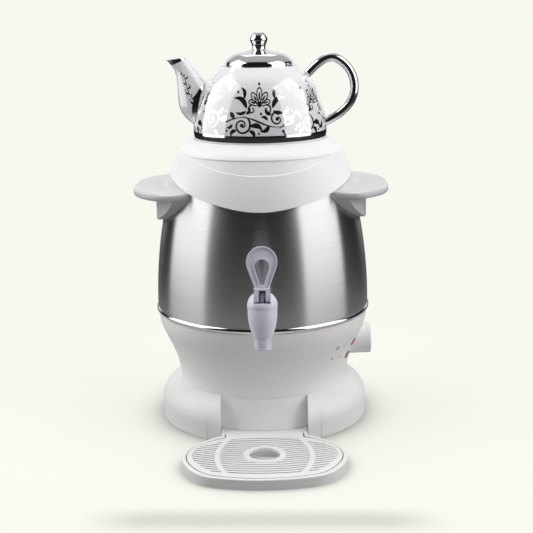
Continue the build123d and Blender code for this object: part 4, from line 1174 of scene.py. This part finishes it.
    def root(self) -> bpy.types.Object:
        """Silver on both sides of the spout's root: from the belly outwards over the spout's ellipse.

        A point of the ellipse is its middle, and its reach times the cosine and its half width times the
        sine of a turn. The turn starts where the ellipse leaves the belly, and goes on by the band's width
        over its slope.

        Returns:
            Both bands as one piece.
        """
        share = np.linspace(0.0, 1.0, 60)
        height = self.root_foot + (self.root_top - self.root_foot) * share
        middle, reach, half = self.section(height)
        edge, radius = self.spout_edge(height), self.radius(height)
        start = np.arctan2(radius * np.sin(edge) / half, (-radius * np.cos(edge) - middle) / reach)
        width = self.root_edge + self.root_band * np.sin(np.pi * share) ** 0.7
        step = width / np.hypot(reach * np.sin(start), half * np.cos(start))
        turn = start[:, None] + step[:, None] * np.linspace(self.root_inset, 1.0, 7)
        x, y = middle[:, None] + reach[:, None] * np.cos(turn), half[:, None] * np.sin(turn)
        z = height[:, None] + self.foot + 0 * turn
        sheets = [np.stack([x, side * y, z], axis=-1) * MM for side in (-1.0, 1.0)]
        return film("spout_root_bands", sheets, self.bench.nodes["teapot"])

    def lip(self) -> bpy.types.Object:
        """Silver on the spout's lip: from its inner edge over the lip, deeper down at the outer tip.

        Each ring is an ellipse about the leaning lip, moved down by a share of the drop at each point.

        Returns:
            The band on the lip.
        """
        turn = np.linspace(0.0, 2 * np.pi, 72, endpoint=False)[:, None]
        depth = self.lip_drop - self.lip_slant * np.cos(turn)
        cos, sin = way_at(self.lip_lean)
        out, side = np.array([cos, 0.0, sin]), np.array([0.0, 1.0, 0.0])
        down = np.array([self.lip_taper + sin, 0.0, -cos])
        rows = []
        for share, half_x, half_y in self.lip_rings:
            rows.append(half_x * np.cos(turn) * out + half_y * np.sin(turn) * side + share * depth * down)
        middle = np.array([self.lip_middle[0], 0.0, self.foot + self.lip_middle[1]])
        sheet = (np.stack(rows) + middle) * MM
        return film("spout_lip", [sheet], self.bench.nodes["teapot"], close_columns=True)

    def ear(self) -> bpy.types.Object:
        """Silver over the whole ear: a copy of the skin that stands outside the belly on the ear's side.

        Returns:
            The ear's silver.
        """
        work = bmesh.new()
        work.from_mesh(self.bench.nodes["teapot"].data)
        bmesh.ops.remove_doubles(work, verts=work.verts, dist=1e-7)
        work.faces.ensure_lookup_table()
        centre = np.array([face.calc_center_median() for face in work.faces]) / MM
        reach, height = np.hypot(centre[:, 0], centre[:, 1]), centre[:, 2] - self.foot
        outside = reach > self.radius(height) + self.ear_stand
        keep = (centre[:, 0] > self.ear_side) & (height > self.ear_foot) & outside
        others = [face for face, kept in zip(work.faces, keep) if not kept]
        bmesh.ops.delete(work, geom=others, context="FACES")
        work.normal_update()
        mesh = bpy.data.meshes.new("teapot_ear_silver")
        work.to_mesh(mesh)
        work.free()
        made = bpy.data.objects.new("teapot_ear_silver", mesh)
        bpy.context.scene.collection.objects.link(made)
        body = made.modifiers.new("body", "SOLIDIFY")
        body.thickness, body.offset = self.ear_silver * MM, 1.0
        settle(made)
        return made

    def build(self) -> None:
        """Dresses the pot and lid, and adds the silver."""
        self.bench.dress(PORCELAIN, "teapot")
        self.bench.dress(SILVER, "teapot_lid")
        for silver in (self.ear, self.bands, self.root, self.lip, self.sprig, self.ornament):
            self.bench.add(silver(), Body.POT, SILVER, "silvered")


@dataclass(frozen=True)
class Tap(Assembly):
    """The lever tap: barrel, bonnet, lever, stem, seal, and the shank's thread. Sizes in millimetres."""

    shank_height: float = 147.0
    shank_radius: float = 7.9
    thread_start: float = -112.0
    thread_end: float = -98.2
    pitch: float = 1.8
    crest: float = 0.396
    flank: float = 0.594
    sunk: float = 0.02
    steps_per_turn: int = 28

    def thread(self) -> bpy.types.Object:
        """The thread on the shank inside the tank: a three-sided ridge carried along a helix.

        A point of the helix lies a radius from the shank's axis, at an angle of a full turn for each pitch of
        travel. The ridge is drawn to a point over half a turn at either end.

        Returns:
            The thread.
        """
        travel = self.thread_end - self.thread_start
        turns = travel / self.pitch
        share = np.linspace(0.0, 1.0, int(turns * self.steps_per_turn))
        angle = np.pi / 4 + 2 * np.pi * turns * share
        fade = np.clip(np.minimum(share, 1 - share) * turns * 2, 0.0, 1.0)
        along = self.thread_start + travel * share
        corners = []
        for reach, shift in ((-self.sunk, -self.flank), (self.crest * fade, 0.0), (-self.sunk, self.flank)):
            radius = self.shank_radius + reach
            height = self.shank_height + radius * np.cos(angle)
            corners.append(np.stack([radius * np.sin(angle), along + shift * fade, height], axis=1))
        return piece("tap_shank_thread", [np.stack(corners, axis=1) * MM], close_columns=True)

    def build(self) -> None:
        """Dresses the tap's nodes and cuts the shank's thread."""
        self.bench.dress(TAP_PLASTIC, "tap_body", "tap_bonnet", "tap_lever", "tap_stem", "tap_nut")
        self.bench.dress(SILICONE, "tap_seal", "tap_outer_gasket", "tap_inner_gasket")
        self.bench.dress(SPRING, "tap_pin", "tap_spring")
        self.bench.add(self.thread(), Body.HOUSING, TAP_PLASTIC, "tap_plastic")


@dataclass(frozen=True)
class DripTray(Assembly):
    """The drip tray and its lift-off grille."""

    def build(self) -> None:
        """Dresses the tray and the grille."""
        self.bench.dress(TRAY_PLASTIC, "drip_tray", "drip_grille")


# ---------------------------------------------------------------- studio


@dataclass(frozen=True)
class Lamp:
    """A soft lamp: its angle from the front, its reach and height, its size, and its brightness.

    Gloss shows it if it is mirrored, and it is aimed at a height on the samovar's axis.
    """

    name: str
    azimuth: float
    reach: float
    height: float
    width: float
    tall: float
    radiance: float
    mirrored: bool = True
    aim: float = 0.5

    def build(self) -> None:
        """An area lamp that faces the samovar, unseen by the camera."""
        data = bpy.data.lights.new(self.name, "AREA")
        data.shape, data.size, data.size_y = "RECTANGLE", self.width, self.tall
        data.energy = self.radiance * math.pi * self.width * self.tall
        made = bpy.data.objects.new(self.name, data)
        turn = math.radians(self.azimuth)
        place = Vector((self.reach * math.sin(turn), -self.reach * math.cos(turn), self.height))
        toward = Vector((0.0, 0.0, self.aim)) - place
        made.matrix_world = Matrix.Translation(place) @ toward.to_track_quat("-Z", "Y").to_matrix().to_4x4()
        made.visible_camera, made.visible_glossy = False, self.mirrored
        bpy.context.scene.collection.objects.link(made)


@dataclass(frozen=True)
class Studio:
    """A pale room round the samovar: floor, air, lamps and camera. Lengths in metres."""

    pale: Colour = (0.93, 0.94, 0.87)
    daylight: Colour = (1.0, 1.0, 0.99)
    ambient: float = 0.56
    ambient_front: float = 0.09
    ambient_edge: tuple[float, float] = (-0.3, 0.9)
    dark: float = 0.012
    behind: float = 0.85
    behind_edge: tuple[float, float] = (0.70, 0.88)
    overhead: float = 0.50
    overhead_lean: float = 0.6
    above_edge: tuple[float, float] = (0.62, 0.90)
    floor_size: float = 8.0
    floor_rows: int = 33
    floor_paint: float = 0.30
    floor_glow: float = 0.67
    # painted shadow on the floor: the glow where ambient occlusion finds the samovar close, the occlusion's
    # reach, and its easing
    painted_shadow_glow: float = 0.25
    painted_shadow_reach: float = 0.05
    painted_shadow_edge: tuple[float, float] = (0.45, 1.0)
    fade: tuple[float, float] = (0.16, 0.55)
    dimming: tuple[float, float] = (0.25, 0.75)
    dim_tones: tuple[float, float] = (0.42, 0.03)
    bounce: float = 0.55
    # a painted shadow band on the floor in front: its reach, slant, half width, ends and depth
    painted_shadow_band_reach: float = 0.284
    painted_shadow_band_slant: float = 0.0333
    painted_shadow_band_half: float = 0.032
    painted_shadow_band_ends: tuple[float, float] = (0.10, 0.175)
    painted_shadow_band_depth: float = 0.26
    place: tuple[float, float, float] = (0.004586, -1.2, 0.4492)
    pitch: float = 0.234
    roll: float = 0.015
    lens: float = 76.01
    lamps: tuple[Lamp, ...] = (
        Lamp("lamp_left", -88.0, 1.2, 0.85, 1.38, 1.9, 1.85),
        Lamp("lamp_right", 70.0, 1.2, 0.85, 1.33, 1.9, 1.85),
        Lamp("fill_left", -62.0, 1.2, 0.80, 0.7, 1.2, 0.7, False),
        Lamp("fill_right", 50.0, 1.2, 0.80, 0.7, 1.2, 0.8, False),
        Lamp("lamp_top", 180.0, 0.10, 1.7, 1.2, 0.9, 2.0, False),
        Lamp("lamp_back", 180.0, 0.85, 1.35, 0.7, 0.45, 1.4),
    )

    def painted(self, make: NodeWork, where: Socket) -> Socket:
        """What the camera sees of the floor: near the samovar, the real shadow that the diffuse share catches
        and a painted contact shadow where ambient occlusion dims the glow, and the room's colour far off.

        Args:
            make: the floor's nodes.
            where: the Object coordinates.

        Returns:
            The shader.
        """
        pale = self.pale + (1.0,)
        reach = make.node("VectorMath", Vector=where)
        reach.operation = "LENGTH"
        # painted contact shadow: ambient occlusion lowers the floor's glow near the samovar
        open_sky = make.node("AmbientOcclusion", Distance=self.painted_shadow_reach).outputs["AO"]
        glow = make.eased(open_sky, *self.painted_shadow_edge, self.painted_shadow_glow, self.floor_glow)
        near = make.node("AddShader")
        paint = tuple(tone * self.floor_paint for tone in self.pale) + (1.0,)
        make.plug(near.inputs[0], make.node("BsdfDiffuse", Color=paint).outputs[0])
        make.plug(near.inputs[1], make.node("Emission", Color=pale, Strength=glow).outputs[0])
        far = make.node("Emission", Color=pale).outputs[0]
        return make.mixed(make.eased(reach.outputs["Value"], *self.fade, 0.0, 1.0), near.outputs[0], far)

    def band(self, make: NodeWork, where: Socket) -> Socket:
        """The tone of the painted shadow band in front: one, less its depth, eased out across it and at its
        ends.

        Args:
            make: the floor's nodes.
            where: the Object coordinates.

        Returns:
            The tone, at most one.
        """
        place = make.node("SeparateXYZ", Vector=where)
        slanted = make.maths("MULTIPLY_ADD", place.outputs["X"], self.painted_shadow_band_slant, place.outputs["Y"])
        ahead = make.maths("ABSOLUTE", make.maths("ADD", slanted, self.painted_shadow_band_reach))
        aside = make.maths("ABSOLUTE", place.outputs["X"])
        across = make.eased(ahead, 0.0, self.painted_shadow_band_half, -self.painted_shadow_band_depth, 0.0)
        return make.maths("MULTIPLY_ADD", across, make.eased(aside, *self.painted_shadow_band_ends, 1.0, 0.0), 1.0)

    def floor(self) -> None:
        """A wide floor. The camera sees it painted, with painted shadow near the samovar and a painted shadow
        band in front, and gloss and bounced light see a plain one.
        """
        steps = np.linspace(-0.5, 0.5, self.floor_rows) * self.floor_size
        flat = np.stack(np.meshgrid(steps, steps, indexing="ij"), axis=-1)
        made = piece("floor", [np.concatenate([flat, np.zeros(flat.shape[:2] + (1,))], axis=2)])
        material = bpy.data.materials.new("floor_paint")
        make = NodeWork(material)
        where = make.node("TexCoord").outputs["Object"]
        # the painted shadow band darkens the floor's paint in front of the samovar
        shadow_banded = make.mixed(self.band(make, where), None, self.painted(make, where))
        reach = make.node("VectorMath", Vector=where)
        reach.operation = "LENGTH"
        path = make.node("LightPath")
        share = make.maths("MULTIPLY_ADD", path.outputs["Is Glossy Ray"], 1 - self.bounce, self.bounce)
        dimmed = make.eased(reach.outputs["Value"], *self.dimming, *self.dim_tones)
        plain = make.node("BsdfDiffuse", Color=make.maths("MULTIPLY", dimmed, share)).outputs[0]
        make.node("OutputMaterial", Surface=make.mixed(path.outputs["Is Camera Ray"], plain, shadow_banded))
        made.data.materials.append(material)

    def air(self) -> None:
        """The world: pale to the camera, and for diffuse light brighter towards the back and the top.

        For gloss it is dark in front, pale behind and grey above.
        """
        world = bpy.data.worlds.new("room")
        bpy.context.scene.world = world
        make = NodeWork(world)
        parts = make.node("SeparateXYZ", Vector=make.node("TexCoord").outputs["Generated"])
        side, up = parts.outputs["Y"], parts.outputs["Z"]
        behind = make.eased(side, *self.behind_edge, self.dark, self.behind)
        leaning = make.maths("MULTIPLY_ADD", side, self.overhead_lean, up)
        above = make.eased(leaning, *self.above_edge, 0.0, self.overhead)
        slope = make.maths("ADD", side, up)
        spread = make.eased(slope, *self.ambient_edge, self.ambient_front, self.ambient)
        path = make.node("LightPath")
        level = make.node("Mix")
        level.data_type = "FLOAT"
        shiny = make.maths("MAXIMUM", path.outputs["Is Glossy Ray"], path.outputs["Is Transmission Ray"])
        for number, value in ((0, shiny), (2, spread), (3, make.maths("MAXIMUM", behind, above))):
            make.plug(level.inputs[number], value)
        even = make.node("Background", Color=self.daylight + (1.0,), Strength=level.outputs[0])
        seen = make.node("Background", Color=self.pale + (1.0,))
        shown = make.mixed(path.outputs["Is Camera Ray"], even.outputs[0], seen.outputs[0])
        make.node("OutputWorld", Surface=shown)

    def camera(self) -> None:
        """A camera in front and above, pitched down and turned a little about its own axis."""
        data = bpy.data.cameras.new("camera")
        data.lens, data.sensor_width = self.lens, 36.0
        made = bpy.data.objects.new("camera", data)
        ahead = Vector((0.0, math.cos(self.pitch), -math.sin(self.pitch)))
        down = Vector((0.0, -math.sin(self.pitch), -math.cos(self.pitch)))
        right = Vector((1.0, 0.0, 0.0))
        across = right * math.cos(self.roll) + down * math.sin(self.roll)
        below = right * -math.sin(self.roll) + down * math.cos(self.roll)
        turn = Matrix((across, -below, -ahead)).transposed().to_4x4()
        made.matrix_world = Matrix.Translation(Vector(self.place)) @ turn
        bpy.context.scene.collection.objects.link(made)
        bpy.context.scene.camera = made

    def build(self) -> None:
        """Sets up the room."""
        self.floor()
        self.air()
        self.camera()
        for lamp in self.lamps:
            lamp.build()
        bpy.context.scene.view_settings.view_transform = "Standard"
        log.info("set up the studio")


def main() -> None:
    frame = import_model()
    bench = Bench(frame)
    Studio().build()
    for part in (Base, LowerHousing, Tank, Handles, Collar, Teapot, Tap, DripTray):
        part(bench).build()
        log.info("finished %s", part.__name__)


if __name__ == "__main__":
    logging.basicConfig(level=logging.INFO, format="%(name)s: %(message)s")
    main()
